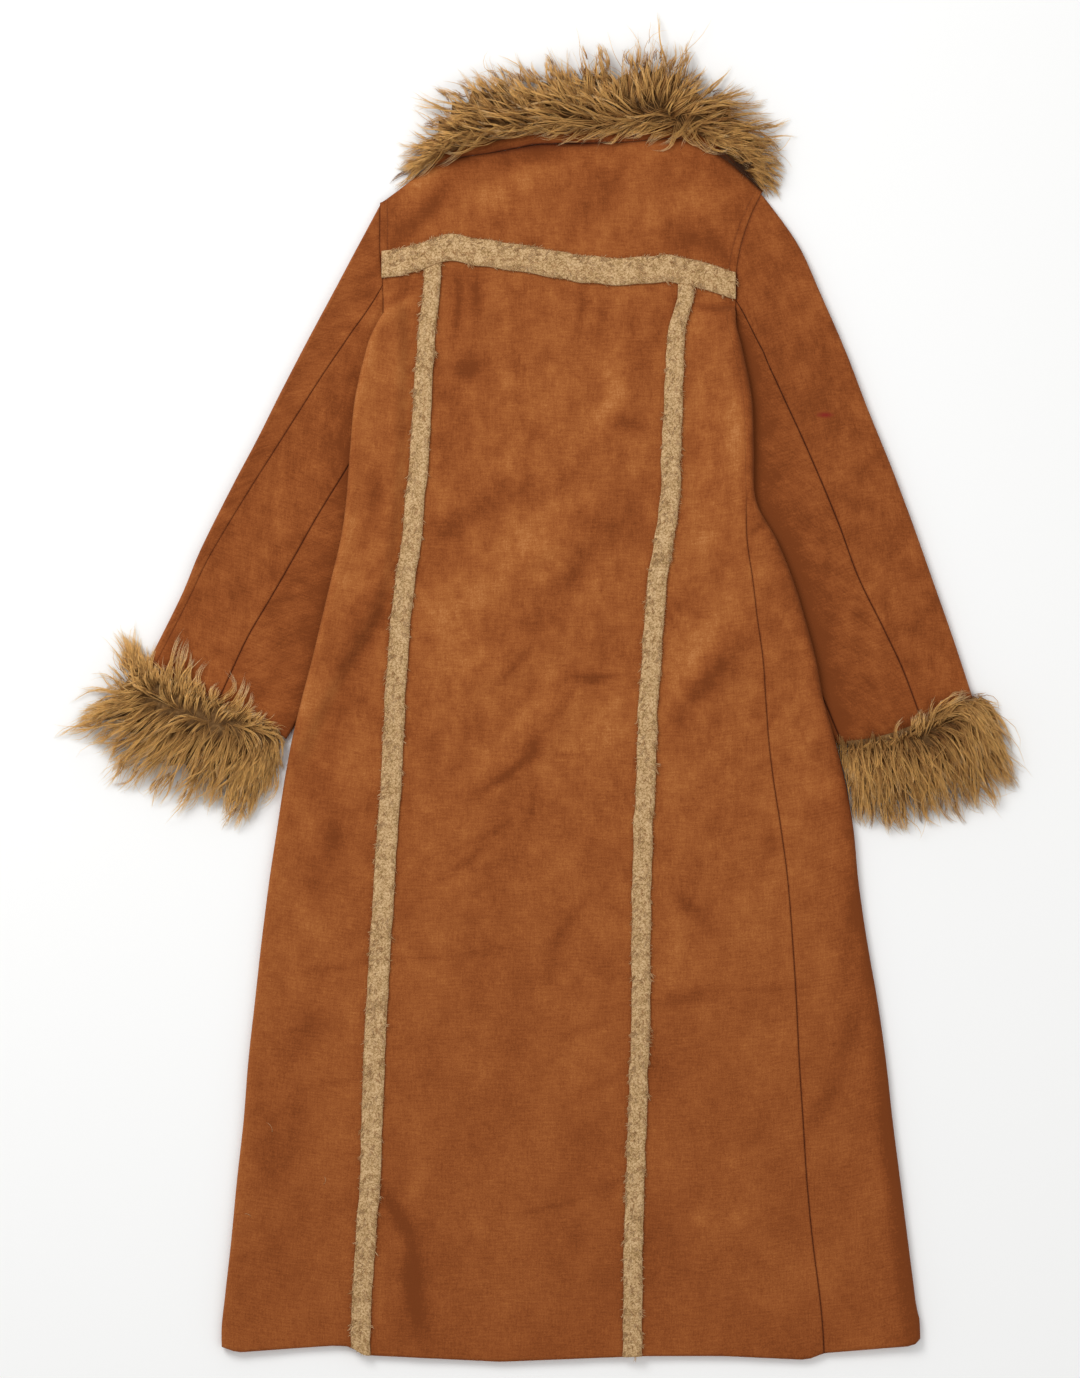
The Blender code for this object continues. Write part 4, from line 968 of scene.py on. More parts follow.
def sleeve_flat(lines, distance, top=True):
    """Points, normals and pinch of a flat stretch of a sleeve."""
    across, up = sleeve_places(lines, distance)
    pinch_and_shade, height = np.zeros(across.shape), np.zeros(across.shape)
    if top:
        for seam, shows in zip(lines["seams"], lines["shows"]):
            pinch_and_shade = np.maximum(pinch_and_shade, shows * pinched(distance - seam))
        far = np.abs(across - armhole(up, lines["side"]))
        pinch_and_shade = np.maximum(pinch_and_shade, 0.5 * pinched(far) * (lines["at"] < 1))
        height = sleeve_top(lines, distance) - SEAM_DEPTH * pinch_and_shade
    points = np.stack([across, up, height], axis=-1)
    return points, facing(points, top), pinch_and_shade


def sleeve_fold(lines, inner):
    """Points, normals and pinch round one fold: half a circle as high as the sleeve is there."""
    edge = lines["width"] if inner else np.zeros_like(lines["width"])
    radius = sleeve_top(lines, edge) / 2
    way = 1.0 if inner else -1.0
    distance = edge - way * radius + way * radius * np.cos(ARC)
    across, up = sleeve_places(lines, distance)
    points = np.stack([across, up, radius + radius * np.sin(ARC)], axis=-1)
    turned = way * np.cos(ARC)[:, None] * lines["way"]
    rise = np.broadcast_to(np.sin(ARC)[:, None], (*turned.shape[:2], 1))
    return points, np.concatenate([turned, rise], axis=-1), np.zeros(across.shape), radius


def make_sleeve(name, table, side):
    """Both pieces of a sleeve: the top sleeve round both folds, and the undersleeve between its seams."""
    lines = sleeve_lines(table, side)
    back, front = lines["seams"]
    *outer, outer_radius = sleeve_fold(lines, False)
    *inner, inner_radius = sleeve_fold(lines, True)
    inner_edge = lines["width"] - inner_radius
    back_gap, front_gap = (HALF_GAP * shows for shows in lines["shows"])
    over_outer = spread(back - back_gap, outer_radius, 10, NEAR_SEAM, ())
    below = spread(outer_radius, inner_edge, 22)[:, 1:-1]
    over_inner = spread(inner_edge, front + front_gap, 6, (), NEAR_SEAM)
    between = spread(back + back_gap, front - front_gap, 16, NEAR_SEAM, NEAR_SEAM)
    round_inner = tuple(part[:, ::-1] for part in inner)
    top_grid = join(
        sleeve_flat(lines, over_outer), tuple(outer), sleeve_flat(lines, below, top=False),
        round_inner, sleeve_flat(lines, over_inner),
    )

    def shade(across, up):
        return body_shade(across, up, side)

    top = suede_piece(f"{name}_top_sleeve", f"sleeve_{name}_top", top_grid, shade=shade)
    suede_piece(
        f"{name}_undersleeve", f"sleeve_{name}_under", sleeve_flat(lines, between), shade=shade)


make_sleeve("left", SLEEVE_LEFT, -1)
make_sleeve("right", SLEEVE_RIGHT, 1)

# %% [markdown]
# ## Hair, thread and pile from one function
#
# A hair is a thin cone that bends. Thousands of them are joined into one mesh: each is a three-sided tube
# round its own path, closed at the root and thinned to a point. Three sides are enough, because a hair is
# never wider than a millimetre. All of them are worked out at once.

# %% Hairs


def hairs(name, paths, radius, material, slot, shade, blunt=2.0):
    """Tubes: each point is the path plus radius * (1 - t^blunt)^0.5 times a unit vector square to it."""
    count, steps = paths.shape[0], paths.shape[1] - 1
    along = np.gradient(paths, axis=1)
    along /= np.linalg.norm(along, axis=-1, keepdims=True) + 1e-9
    side = np.cross(along, (0.0, 0.02, 1.0))
    side /= np.linalg.norm(side, axis=-1, keepdims=True) + 1e-9
    above = np.cross(side, along)
    share = np.linspace(0, 1, steps + 1)
    thick = radius[:, None] * np.sqrt(1 - share[:-1] ** blunt)
    turns = np.radians([90.0, 210.0, 330.0])[:, None]
    across = np.cos(turns) * side[:, :-1, None] + np.sin(turns) * above[:, :-1, None]
    rings = paths[:, :-1, None] + thick[..., None, None] * across
    points = np.concatenate([rings.reshape(count, steps * 3, 3), paths[:, -1:]], axis=1)
    first = np.arange(steps - 1)[:, None] * 3 + np.arange(3)
    after = np.arange(steps - 1)[:, None] * 3 + (np.arange(3) + 1) % 3
    end = (steps - 1) * 3
    one = np.concatenate([
        np.stack([first, after, after + 3], axis=-1).reshape(-1, 3),
        np.stack([first, after + 3, first + 3], axis=-1).reshape(-1, 3),
        [(end, end + 1, end + 3), (end + 1, end + 2, end + 3), (end + 2, end, end + 3), (2, 1, 0)],
    ])
    each = points.shape[1]
    faces = (one + np.arange(count)[:, None, None] * each).reshape(-1, 3)
    flat = points.reshape(-1, 3)
    corners = flat[faces]
    if np.sum(corners[:, 0] * np.cross(corners[:, 1], corners[:, 2])) < 0:
        faces = faces[:, ::-1]
    place_along = np.append(np.repeat(share[:-1], 3), 1.0)
    layers = {"along": np.tile(place_along, count), "shade": np.repeat(shade, each)}
    make_piece(name, flat, faces, material, slot, layers)
    print(f"{name}: {count} hairs, {len(faces)} triangles")


print("A hair of 5 steps has", 6 * 4 + 4, "triangles")

# %% [markdown]
# ## Sherpa pile for the strips
#
# The strips are cut from sherpa: a knit with a short, curled pile of polyester. It is dull and pale beige,
# with olive in the hollows between the curls, and thin dark lines of painted shade where the curls part.
# Each strip is a low cushion on its panel, made from the panel's own points moved out. Its top swells in
# small curls and dips along the middle. Short bent hairs lie on it in a herringbone that wanders, as the
# pile of the real strip does.

# %% Pile finish


def hair_finish(name, root, middle, tip, dark, deepest, roughness, flecked=1.0):
    """Polyester hair, IOR 1.53: colour runs from root to tip, and some hairs are darker than others."""
    made, tree, shader = new_material(name)
    along, shade = on_mesh(tree, "along"), on_mesh(tree, "shade")
    fleck = noise(tree, place_in(tree), 9.0, 2.0, 0.6)
    place_along = weigh(tree, -0.08, (along, 1.0), swing(tree, fleck, 0.5 * flecked))
    length_colour = ramp(tree, place_along, [(0.0, root), (0.42, middle), (1.0, tip)])
    darker = weigh(tree, 0.02, (shade, 1.0), swing(tree, fleck, 0.3 * flecked))
    depth = ramp(tree, darker, [(0.0, "#ffffff"), (0.75, dark), (1.0, deepest)])
    fill(tree, shader, {
        "Base Color": tinted(tree, length_colour, depth),
        "Roughness": roughness, "IOR": 1.53, "Specular IOR Level": 0.3,
    })
    return made


def pile_ground(name, low, middle, high, size, relief, parted_shade=0.0):
    """The pile's own ground: curls about `size` mm across, with thin dark lines of painted shade where they
    are parted.
    """
    made, tree, shader = new_material(name)
    where = place_in(tree)
    curl = noise(tree, where, size, 3.0, 0.6)
    patch = noise(tree, where, size * 7, 2.0, 0.5)
    from_line = weigh(tree, noise(tree, where, size * 2.2, 1.0), -0.5)
    from_line = add(tree, "ShaderNodeMath", {"operation": "ABSOLUTE"}, {0: from_line}).outputs[0]
    # Painted shade: thin dark lines where the curls part.
    curls = weigh(tree, -0.6 * parted_shade, (times(tree, from_line, 14.0), parted_shade))
    lightness = weigh(tree, 0.45, swing(tree, curl, 1.6), swing(tree, patch, 0.7), (curls, 1.0))
    fill(tree, shader, {
        "Base Color": ramp(tree, lightness, [(0.0, low), (0.5, middle), (1.0, high)]),
        "Normal": relief_of(tree, curl, 0.7, relief * MM),
        "Roughness": 0.95, "IOR": 1.5, "Specular IOR Level": 0.15,
    })
    return made


pile_base = pile_ground("sherpa_pile_ground", "#876940", "#b28f63", "#d2b186", 1.7, 0.35, 0.6)
pile_hair = hair_finish("sherpa_pile_hair", "#b8946a", "#d0ad80", "#e4c79c", "#e5d8c7", "#dccab2", 0.9, 0.4)
print("Pile ground nodes:", len(pile_base.node_tree.nodes))

# %% Strips
STRIP_LIFT, STRIP_HEIGHT = 0.6, 4.0
PILE_PROFILE = named("aside rise", [
    (-1.0, 0.45), (-0.86, 0.8), (-0.5, 1.0), (0, 0.82), (0.5, 1.0), (0.86, 0.8), (1.0, 0.45),
])
ASIDE = np.array([-1.0, -0.92, -0.76, -0.57, -0.38, -0.19, 0, 0.19, 0.38, 0.57, 0.76, 0.92, 1.0])
TUFT_STEPS, CLUMP = 4, 4


def pile_height(aside, across, up):
    """Height of the pile over its backing: its profile, swollen and parted into small curls."""
    curls = 0.16 * ripple(across, up, 8.0, 21) + 0.16 * ripple(across, up, 4.4, 22)
    return STRIP_HEIGHT * np.interp(aside, PILE_PROFILE["aside"], PILE_PROFILE["rise"]) + curls


def strip_piece(name, node, across, up, below):
    """A strip: its underside lies just over the panel, and its top is the pile, whose grid comes back."""
    low = np.stack([across, up, below + STRIP_LIFT], axis=-1)
    top = low.copy()
    top[..., 2] += pile_height(ASIDE, across, up)
    points, used, faces = close_grids(top, low)
    piece = make_piece(name, points[used], faces, pile_base, "pile", {})
    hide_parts(node)
    print(f"{name}: {2 * len(faces)} triangles, cut {flat_size(low)} m")
    return top


def tuft_paths(top, count, seed, length, lean, overhang):
    """Short bent hairs in clumps on a strip. Each clump has its own heading, bend and shade."""
    draw = np.random.default_rng(seed)
    clump = np.arange(count) // CLUMP
    clumps = clump[-1] + 1
    row = draw.uniform(0, top.shape[0] - 1, clumps)[clump] + draw.normal(0, 0.45, count)
    row = np.clip(row, 0, top.shape[0] - 1.001)
    col = draw.uniform(0.06, 0.94, clumps)[clump] * (top.shape[1] - 1) + draw.normal(0, 0.4, count)
    col = np.clip(col, 0.7, top.shape[1] - 1.7)
    root, r, c = blend(top, row, col), row.astype(int), col.astype(int)
    ahead = top[r + 1, c] - top[r, c]
    heading = np.arctan2(ahead[:, 1], ahead[:, 0])
    aside = 2 * col / (top.shape[1] - 1) - 1
    wander = 0.6 * ripple(root[:, 0], root[:, 1], 19.0, seed + 1)
    inner = 1 - 0.75 * aside**4
    leaning = lean * np.sign(aside + 0.25 * wander) + wander
    turn = heading + inner * (leaning + draw.normal(0, 0.5, clumps)[clump])
    turn = turn + draw.normal(0, 0.12, count)
    t = np.linspace(0, 1, TUFT_STEPS + 1)
    bend = draw.normal(0, 1.1, clumps)[clump, None] * inner[:, None]
    size = length * draw.uniform(0.6, 1.25, count)
    heading_at = turn[:, None] + bend * (t - 0.3)
    step = (size / TUFT_STEPS)[:, None]
    shift = np.stack([np.cos(heading_at), np.sin(heading_at)], axis=-1)[:, :-1] * step[..., None]
    flat = root[:, None, :2] + np.pad(np.cumsum(shift, axis=1), ((0, 0), (1, 0), (0, 0)))
    arch = draw.uniform(0.1, 0.55, count)[:, None] * np.sin(np.pi * (0.15 + 0.85 * t))
    edge_drop = overhang * np.clip(np.abs(aside) - 0.75, 0, 1)[:, None] * 3 * t
    height = root[:, 2:] + arch - edge_drop
    shade = draw.uniform(-0.1, 1.0, clumps)[clump] + draw.normal(0, 0.12, count)
    return np.concatenate([flat, height[..., None]], axis=-1), np.clip(shade, 0, 1)


def edge_tufts(top, count, side, rows, seed):
    """Fine hairs that stand out past one edge of a strip, between two shares of its length."""
    draw = np.random.default_rng(seed)
    row = (draw.uniform(*rows, count) * (len(top) - 2)).astype(int)
    near = len(ASIDE) - 2 if side > 0 else 1
    root, ahead = top[row, near], top[row + 1, near] - top[row, near]
    turn = np.arctan2(ahead[:, 1], ahead[:, 0]) + side * draw.uniform(0.4, 1.5, count)
    t = np.linspace(0, 1, TUFT_STEPS + 1)
    turns = turn[:, None] + draw.normal(0, 0.5, count)[:, None] * t
    way = np.stack([np.cos(turns), np.sin(turns)], axis=-1)
    flat = root[:, None, :2] + draw.uniform(2.0, 4.6, count)[:, None, None] * t[:, None] * way
    height = root[:, 2:] + 0.5 * np.sin(np.pi * t) - 1.2 * t
    return np.concatenate([flat, height[..., None]], axis=-1), draw.uniform(0, 0.6, count)


STRIP_WIDTHS = named("up left right", [
    (1128, 18.0, 16.5), (1062, 18.5, 18.5), (957, 20.0, 20.5), (700, 21.5, 20.5), (300, 22.5, 19.5),
    (4, 20.0, 20.0),
])
strip_rows = at_height(np.linspace(1128, 4, 540))[:, None]
strips = {}
for name, seam, ripple_at in (("left", "strip_left", 5), ("right", "strip_right", 90)):
    middle = column(BODY[seam], strip_rows)
    middle_up = row_up(strip_rows, middle)
    wobble = 0.7 * ripple(0 * strip_rows + ripple_at, middle_up, 30.0, 12)
    width = np.interp(-middle_up, -STRIP_WIDTHS["up"], STRIP_WIDTHS[name])
    across = middle + wobble + width / 2 * ASIDE
    up = row_up(strip_rows, across)
    below = top_height(strip_rows, across, up)
    strips[name] = strip_piece(f"{name}_pile_strip", seam, across, up, below)

yoke_line = spread([left_columns[0, -1] + 0.3], [right_columns[0, -1] - 0.3], 180)[0]
yoke_strip_across = np.tile(yoke_line, (len(ASIDE), 1)).T
offset = ASIDE * (YOKE_STRIP_WIDTH / 2 - SEAM_GAP)
wobble = 0.7 * ripple(yoke_strip_across, 0 * offset, 34.0, 13)
yoke_strip_up = curve(YOKE_SEAM, yoke_strip_across) + offset + wobble
yoke_strip_low = np.full(yoke_strip_up.shape, FLAT_HEIGHT)
strips["yoke"] = strip_piece(
    "yoke_pile_strip", "strip_yoke", yoke_strip_across, yoke_strip_up, yoke_strip_low)

# %% Pile of the strips
# Fine hairs past the edges: how many, on which side, and between which shares of the length
FRAYED = {
    "left": ((240, -1, (0, 1)), (60, 1, (0.3, 1))),
    "right": ((150, 1, (0, 0.35)), (130, -1, (0.3, 1)), (90, 1, (0.35, 1))),
    "yoke": ((190, 1, (0.02, 0.98)), (20, -1, (0, 1))),
}
for name, count, seed in (("left", 2300, 31), ("right", 2300, 41), ("yoke", 1240, 51)):
    top = strips[name]
    groups = [tuft_paths(top, count, seed, 6.2, 0.6, 0.6)]
    groups += [edge_tufts(top, *frayed, seed + 7 + order) for order, frayed in enumerate(FRAYED[name])]
    paths, shade = (np.concatenate(parts) for parts in zip(*groups))
    radius = np.random.default_rng(seed + 5).uniform(0.22, 0.36, len(paths))
    radius[count:] *= 0.7
    hairs(f"{name}_strip_pile", paths, radius, pile_hair, "pile", shade)

# %% [markdown]
# ## The under-collar
#
# The fur collar is turned down, and a sliver of its suede underside shows between the fur and the yoke. It
# is a low band along the neckline that rises from its seam. The whole band gets painted shade under the
# fur, and a painted shadow line runs along the yoke beside it.

# %% Under-collar
COLLAR_BASE = (-118.0, 218.0)
# STAND_SHADE is painted shade on the whole under-collar, which lies under the fur.
STAND_WIDTH, STAND_END_WIDTH, STAND_RISE, STAND_SHADE = 14.0, 4.0, 2.6, -0.45
stand_share = np.array([0.0, 0.06, 0.14, 0.25, 0.4, 0.55, 0.7, 0.85, 1.0])[:, None]


def stand_width(across):
    """Width of the under-collar: the root of half a sine wave, narrow at both ends."""
    share = (across - COLLAR_BASE[0]) / (COLLAR_BASE[1] - COLLAR_BASE[0])
    return STAND_END_WIDTH + (STAND_WIDTH - STAND_END_WIDTH) * np.sin(np.pi * np.clip(share, 0, 1)) ** 0.5


stand_across = np.tile(np.linspace(COLLAR_BASE[0] + 6, COLLAR_BASE[1] - 4, 90), (len(stand_share), 1))
stand_up = curve(NECK, stand_across) + SEAM_GAP + stand_share * stand_width(stand_across)
stand_rise = np.interp(stand_share, (0, 0.06, 0.3, 0.65, 1), (0, 0.35, 0.8, 1, 0.8)) * STAND_RISE
stand_folds = 0.4 * ripple(stand_across, stand_up, 24.0, 15) * np.clip(stand_share * 4, 0, 1)
stand_points = np.stack([stand_across, stand_up, FLAT_HEIGHT + stand_rise + stand_folds - 0.3], axis=-1)
# Painted shadow along the under-collar's seam edge, strongest where the neck seam's painted shadow is.
stand_pinch_and_shade = (0.5 + 0.5 * neck_shade(stand_across)) * np.exp(-stand_share * 7)
stand_grid = stand_points, facing(stand_points), stand_pinch_and_shade
suede_piece("under_collar", "collar_stand", stand_grid, shade=lambda across, up: STAND_SHADE)

# %% [markdown]
# ## Long fur: the mass, the flow and the locks
#
# The fur is a knit backing with a short grey-brown undercoat and long golden hair. The hair lies in locks:
# six to twelve hairs that leave the backing side by side, wave together and meet in a point. Three things
# make it. The mass is a low cushion, from the seam to the tips, which stands for the undercoat. The flow is a
# table of headings, and between its rows the heading is a mean weighted by distance. The locks start all
# over the mass and follow the flow. They grow thin where the photo shows the undercoat, and the longest
# ones run out to the tips of the outline.

# %% Fur mass
FUR_PROFILE = named("place rise", [
    (0.00, 0.62), (0.15, 0.86), (0.34, 1.00), (0.55, 0.86), (0.76, 0.52), (0.90, 0.24), (1.00, 0.10),
])
TIP_UNDERSIDE, TIP_THICKNESS, TAPER_LOCKS, END_HEIGHT, VALLEY = 1.2, 2.2, 4, 0.4, 0.17
FINE = 4
MASS_ROWS = 18


def between(values):
    """A list with the mean put between each two."""
    full = np.empty((2 * len(values) - 1, *values.shape[1:]))
    full[0::2] = values
    full[1::2] = (values[:-1] + values[1:]) / 2
    return full


def lock_lines(roots, tips):
    """Root and tip of each line: locks and the valleys between them, where the outline runs back."""
    all_roots, all_tips = between(roots), between(tips)
    all_tips[1::2] += VALLEY * (all_roots[1::2] - all_tips[1::2])
    return all_roots, all_tips


def fur_mass(roots, tips, crown, reach, fullness):
    """Top of the cushion: a rise and fall along each line, lower at both ends of the row of lines."""
    roots, tips = lock_lines(roots, tips)
    order = np.arange(len(roots))
    taper = END_HEIGHT + (1 - END_HEIGHT) * np.clip(np.minimum(order, order[::-1]) / TAPER_LOCKS, 0, 1)
    fine = np.linspace(0, len(roots) - 1, FINE * (len(roots) - 1) + 1)
    columns = *roots.T, *tips.T, taper
    root_across, root_up, tip_across, tip_up, taper = (np.interp(fine, order, part) for part in columns)
    share = np.linspace(0, reach, MASS_ROWS)[:, None]
    across = root_across + share * (tip_across - root_across)
    up = root_up + share * (tip_up - root_up)
    rise = np.interp(share, FUR_PROFILE["place"], FUR_PROFILE["rise"]) - FUR_PROFILE["rise"][-1]
    height = TIP_UNDERSIDE + TIP_THICKNESS + rise * crown * taper * fullness
    return np.stack([across, up, height], axis=-1)


def blurred(values, times):
    """Mean of each cell and its eight neighbours, again and again."""
    rows, columns = values.shape
    for _ in range(times):
        edge = np.pad(values, 1, mode="edge")
        values = sum(edge[y:y + rows, x:x + columns] for y in range(3) for x in range(3)) / 9
    return values


def height_map(mass, ground, cell=3.0, margin=60.0):
    """A look-up of the mass's height and of the way past its outline, on square cells."""
    low, high = mass[..., :2].min(axis=(0, 1)) - margin, mass[..., :2].max(axis=(0, 1)) + margin
    x, y = np.arange(low[0], high[0], cell), np.arange(low[1], high[1], cell)
    heights, gaps, depths = (np.zeros((len(y), len(x))) for _ in range(3))
    points = mass.reshape(-1, 3).astype(np.float32)
    outline = mass[-1]
    for row, level in enumerate(y):
        far = (x[:, None] - points[:, 0]) ** 2 + (level - points[:, 1]) ** 2
        nearest = far.argmin(axis=1)
        gap = np.sqrt(far[np.arange(len(x)), nearest])
        heights[row] = np.where(gap < 1.6 * cell, points[nearest, 2], 0.0)
        gaps[row] = np.clip(gap - cell, 0, None)
        to_outline = (x[:, None] - outline[:, 0]) ** 2 + (level - outline[:, 1]) ** 2
        depths[row] = np.sqrt(to_outline.min(axis=1))
    places = np.meshgrid(x, y)
    heights = blurred(np.maximum(heights, ground(*places)), 2)
    return {"low": low, "cell": cell, "height": heights, "gap": gaps, "depth": depths}


def look_up(chart, key, across, up):
    """Value at a place: a mean of the four cells round it."""
    values = chart[key]
    x = np.clip((across - chart["low"][0]) / chart["cell"], 0, values.shape[1] - 1.001)
    y = np.clip((up - chart["low"][1]) / chart["cell"], 0, values.shape[0] - 1.001)
    return blend(values, y, x)


print("One mean blurs 9 to", blurred(np.pad([[9.0]], 1), 1)[1, 1])

# %% Fur locks
LOCK_STEPS, HAIR_STEPS = 7, 5
PER_GAP_LOCK = 12


def flow_weight(flow, across, up):
    """Weight of each row of the flow table at a place: 1 / (distance^2 + 6^2)^1.5."""
    far = (across[..., None] - flow["across"]) ** 2 + (up[..., None] - flow["up"]) ** 2
    return (far + 36.0) ** -1.5


def heading(flow, across, up):
    """Heading of the locks at a place: the direction of the weighted sum of the table's directions."""
    weight, turn = flow_weight(flow, across, up), np.radians(flow["angle"])
    return np.arctan2((weight * np.sin(turn)).sum(-1), (weight * np.cos(turn)).sum(-1))


def flow_length(flow, across, up):
    """Length of the locks at a place: the weighted mean of the table's lengths."""
    weight = flow_weight(flow, across, up)
    return (weight * flow["length"]).sum(-1) / weight.sum(-1)


def scattered_roots(mass, thin, count, draw):
    """Roots all over the mass, fewer near the thin spots, where the undercoat shows."""
    tries = 4 * count
    row = draw.uniform(0.2, (mass.shape[0] - 1) * 0.84, tries)
    col = draw.uniform(0, mass.shape[1] - 1.001, tries)
    r, c = row.astype(int), col.astype(int)
    here = mass[r, c, :2] + (row - r)[:, None] * (mass[r + 1, c, :2] - mass[r, c, :2])
    far = np.hypot(here[:, :1] - thin["across"], here[:, 1:] - thin["up"]) / thin["radius"]
    kept = here[draw.uniform(0.0, 1.2, tries) < 0.15 + far.min(axis=1)]
    return kept[:count]


def lock_paths(roots, angle, length, bend, wave, phase, flow):
    """Centre line of each lock: steps along its heading, which bends, waves and follows the flow."""
    t = np.linspace(0, 1, LOCK_STEPS + 1)
    points = [roots]
    own = angle - heading(flow, roots[:, 0], roots[:, 1])
    for step in range(LOCK_STEPS):
        here = points[-1]
        flowing = heading(flow, here[:, 0], here[:, 1]) + own
        mixed = angle + 0.7 * np.angle(np.exp(1j * (flowing - angle)))
        turn = mixed + bend * (t[step] - 0.25) + wave * np.cos(2 * np.pi * 0.9 * t[step] + phase)
        shift = np.stack([np.cos(turn), np.sin(turn)], axis=-1) * (length / LOCK_STEPS)[:, None]
        points.append(here + shift)
    return np.stack(points, axis=1)


def hairs_of_locks(
        centre, spreads, per_lock, layer, chart, draw, keep_out, shortest=0.7, loose=1.3, meet=0.75):
    """Hairs round each lock's centre line: side by side at the root, drawn together at the tip."""
    locks = centre.shape[0]
    each = (locks, per_lock, 1)
    t = np.linspace(0, 1, HAIR_STEPS + 1)
    size = draw.uniform(shortest, 1.0, each)
    at = t * size * LOCK_STEPS
    low = np.clip(at.astype(int), 0, LOCK_STEPS - 1)
    part = (at - low)[..., None]
    lock = np.arange(locks)[:, None, None]
    path = (1 - part) * centre[lock, low] + part * centre[lock, low + 1]
    along = np.gradient(path, axis=2)
    along /= np.linalg.norm(along, axis=-1, keepdims=True) + 1e-9
    beside = np.stack([-along[..., 1], along[..., 0]], axis=-1)
    rank = draw.uniform(-1, 1, each)
    drawn_in = 1 - meet * t**1.3
    stray = draw.normal(0, loose, each) * t**2
    turns = draw.uniform(0.7, 1.6, each) * t + draw.uniform(0, 1, each)
    curl = draw.uniform(0.1, 0.9, each) * np.sin(2 * np.pi * turns)
    aside = rank * spreads[:, None, None] * drawn_in + stray + curl * t
    path = path + aside[..., None] * beside
    shift = draw.uniform(-4, 4, each)
    path = keep_out(path + (shift * (1 - t))[..., None] * along)
    base = look_up(chart, "height", path[..., 0], path[..., 1])
    deep = layer[:, None, None] + draw.uniform(-1.8, 1.8, each) - 1.2 * np.abs(rank)
    arch = 3.2 * np.sin(np.pi * np.clip(t * 1.1, 0, 1))
    height = base * (0.84 - 0.16 * t**3) + deep * (1 - 0.5 * t) + arch
    height = np.maximum(height, 1.6 + 0.3 * rank)
    paths = np.concatenate([path, height[..., None]], axis=-1).reshape(-1, HAIR_STEPS + 1, 3)
    shade = 0.34 - 0.07 * deep + draw.normal(0, 0.15, (locks, 1, 1)) + draw.normal(0, 0.07, deep.shape)
    return paths, shade.reshape(-1)


def bowed_locks(ends, share, widest):
    """Centre lines from each start to each end, bowed aside by half a sine wave, and their half-widths."""
    t = np.linspace(0, 1, LOCK_STEPS + 1)[:, None]
    start, way = ends[:, None, :2], ends[:, None, 2:4] - ends[:, None, :2]
    beside = np.stack([-way[..., 1], way[..., 0]], axis=-1)
    lines = start + t * way + ends[:, None, 4:5] * beside * np.sin(np.pi * t) * (0.6 + 0.4 * t)
    return lines, np.clip(np.linalg.norm(way[:, 0], axis=-1) * share, 1.1, widest)


def grow_fur(seed, mass, tables, tips, falls, counts, inside, chart, keep_out):
    """Hairs of one fur piece: locks that follow the flow, single hairs between them, and outline locks.

    The counts are of locks, hairs in a lock, single hairs, and hairs in an outline lock and in a wisp.
    """
    draw = np.random.default_rng(seed)
    scattered, per_lock, singles, per_tip, per_fall = counts
    flow, gap = tables["flow"], np.column_stack([*tables["gap"].values()])
    roots = scattered_roots(mass, tables["thin"], scattered + singles, draw)
    locks = len(roots)
    single = np.arange(locks) >= locks - singles
    wild = np.where(single, 1.6, 1.0)
    angle = heading(flow, roots[:, 0], roots[:, 1]) + draw.normal(0, 0.17, locks) * wild
    layer = draw.uniform(-3.5, 5.5, locks) + np.where(single, 1.5, 0.0)
    length = flow_length(flow, roots[:, 0], roots[:, 1]) * draw.uniform(1.0, 1.45, locks)
    length = length * (1 + 0.08 * layer)
    bend = draw.normal(0, 0.6, locks) * wild
    wave = draw.uniform(0.05, 0.35, locks)
    phase = draw.uniform(0, 2 * np.pi, locks)
    short_of = draw.uniform(*inside, locks) * np.where(single, 0.4, 1.0)
    for _ in range(4):
        centre = lock_paths(roots, angle, length, bend, wave, phase, flow)
        past = look_up(chart, "gap", centre[:, -1, 0], centre[:, -1, 1])
        edge = look_up(chart, "depth", centre[:, -1, 0], centre[:, -1, 1])
        length = np.clip(length - np.clip(past + np.clip(short_of - edge, 0, None), 0, 12), 16, None)
    centre = lock_paths(roots, angle, length, bend, wave, phase, flow)
    spreads = np.clip(draw.uniform(1.4, 2.8, locks) - 0.12 * layer, 0.8, None)
    body = hairs_of_locks(
        centre[~single], spreads[~single], per_lock, layer[~single], chart, draw, keep_out)
    alone = hairs_of_locks(centre[single], spreads[single], 1, layer[single], chart, draw, keep_out, 0.9)

    def between_ends(ends, share, widest, level, per_end, *habit):
        lines, spreads = bowed_locks(ends, share, widest)
        return hairs_of_locks(lines, spreads, per_end, level, chart, draw, keep_out, *habit)

    fringe = between_ends(tips, 0.09, 4.2, draw.uniform(0.0, 4.0, len(tips)), per_tip, 0.5, 0.7, 0.85)
    loose = between_ends(falls, 0.05, 3.0, draw.uniform(0.5, 3.0, len(falls)), per_fall, 0.8, 1.0, 0.6)
    dark, _ = between_ends(gap, 0.08, 3.0, np.full(len(gap), 2.0), PER_GAP_LOCK, 0.8, 0.6, 0.4)
    groups = body, alone, fringe, loose, (dark, np.ones(len(dark)))
    paths, shade = (np.concatenate(parts) for parts in zip(*groups))
    radius = draw.uniform(0.24, 0.46, len(paths))
    radius[len(body[1]) + len(alone[1]):] *= 0.75
    return paths, radius, np.clip(shade, 0, 1)


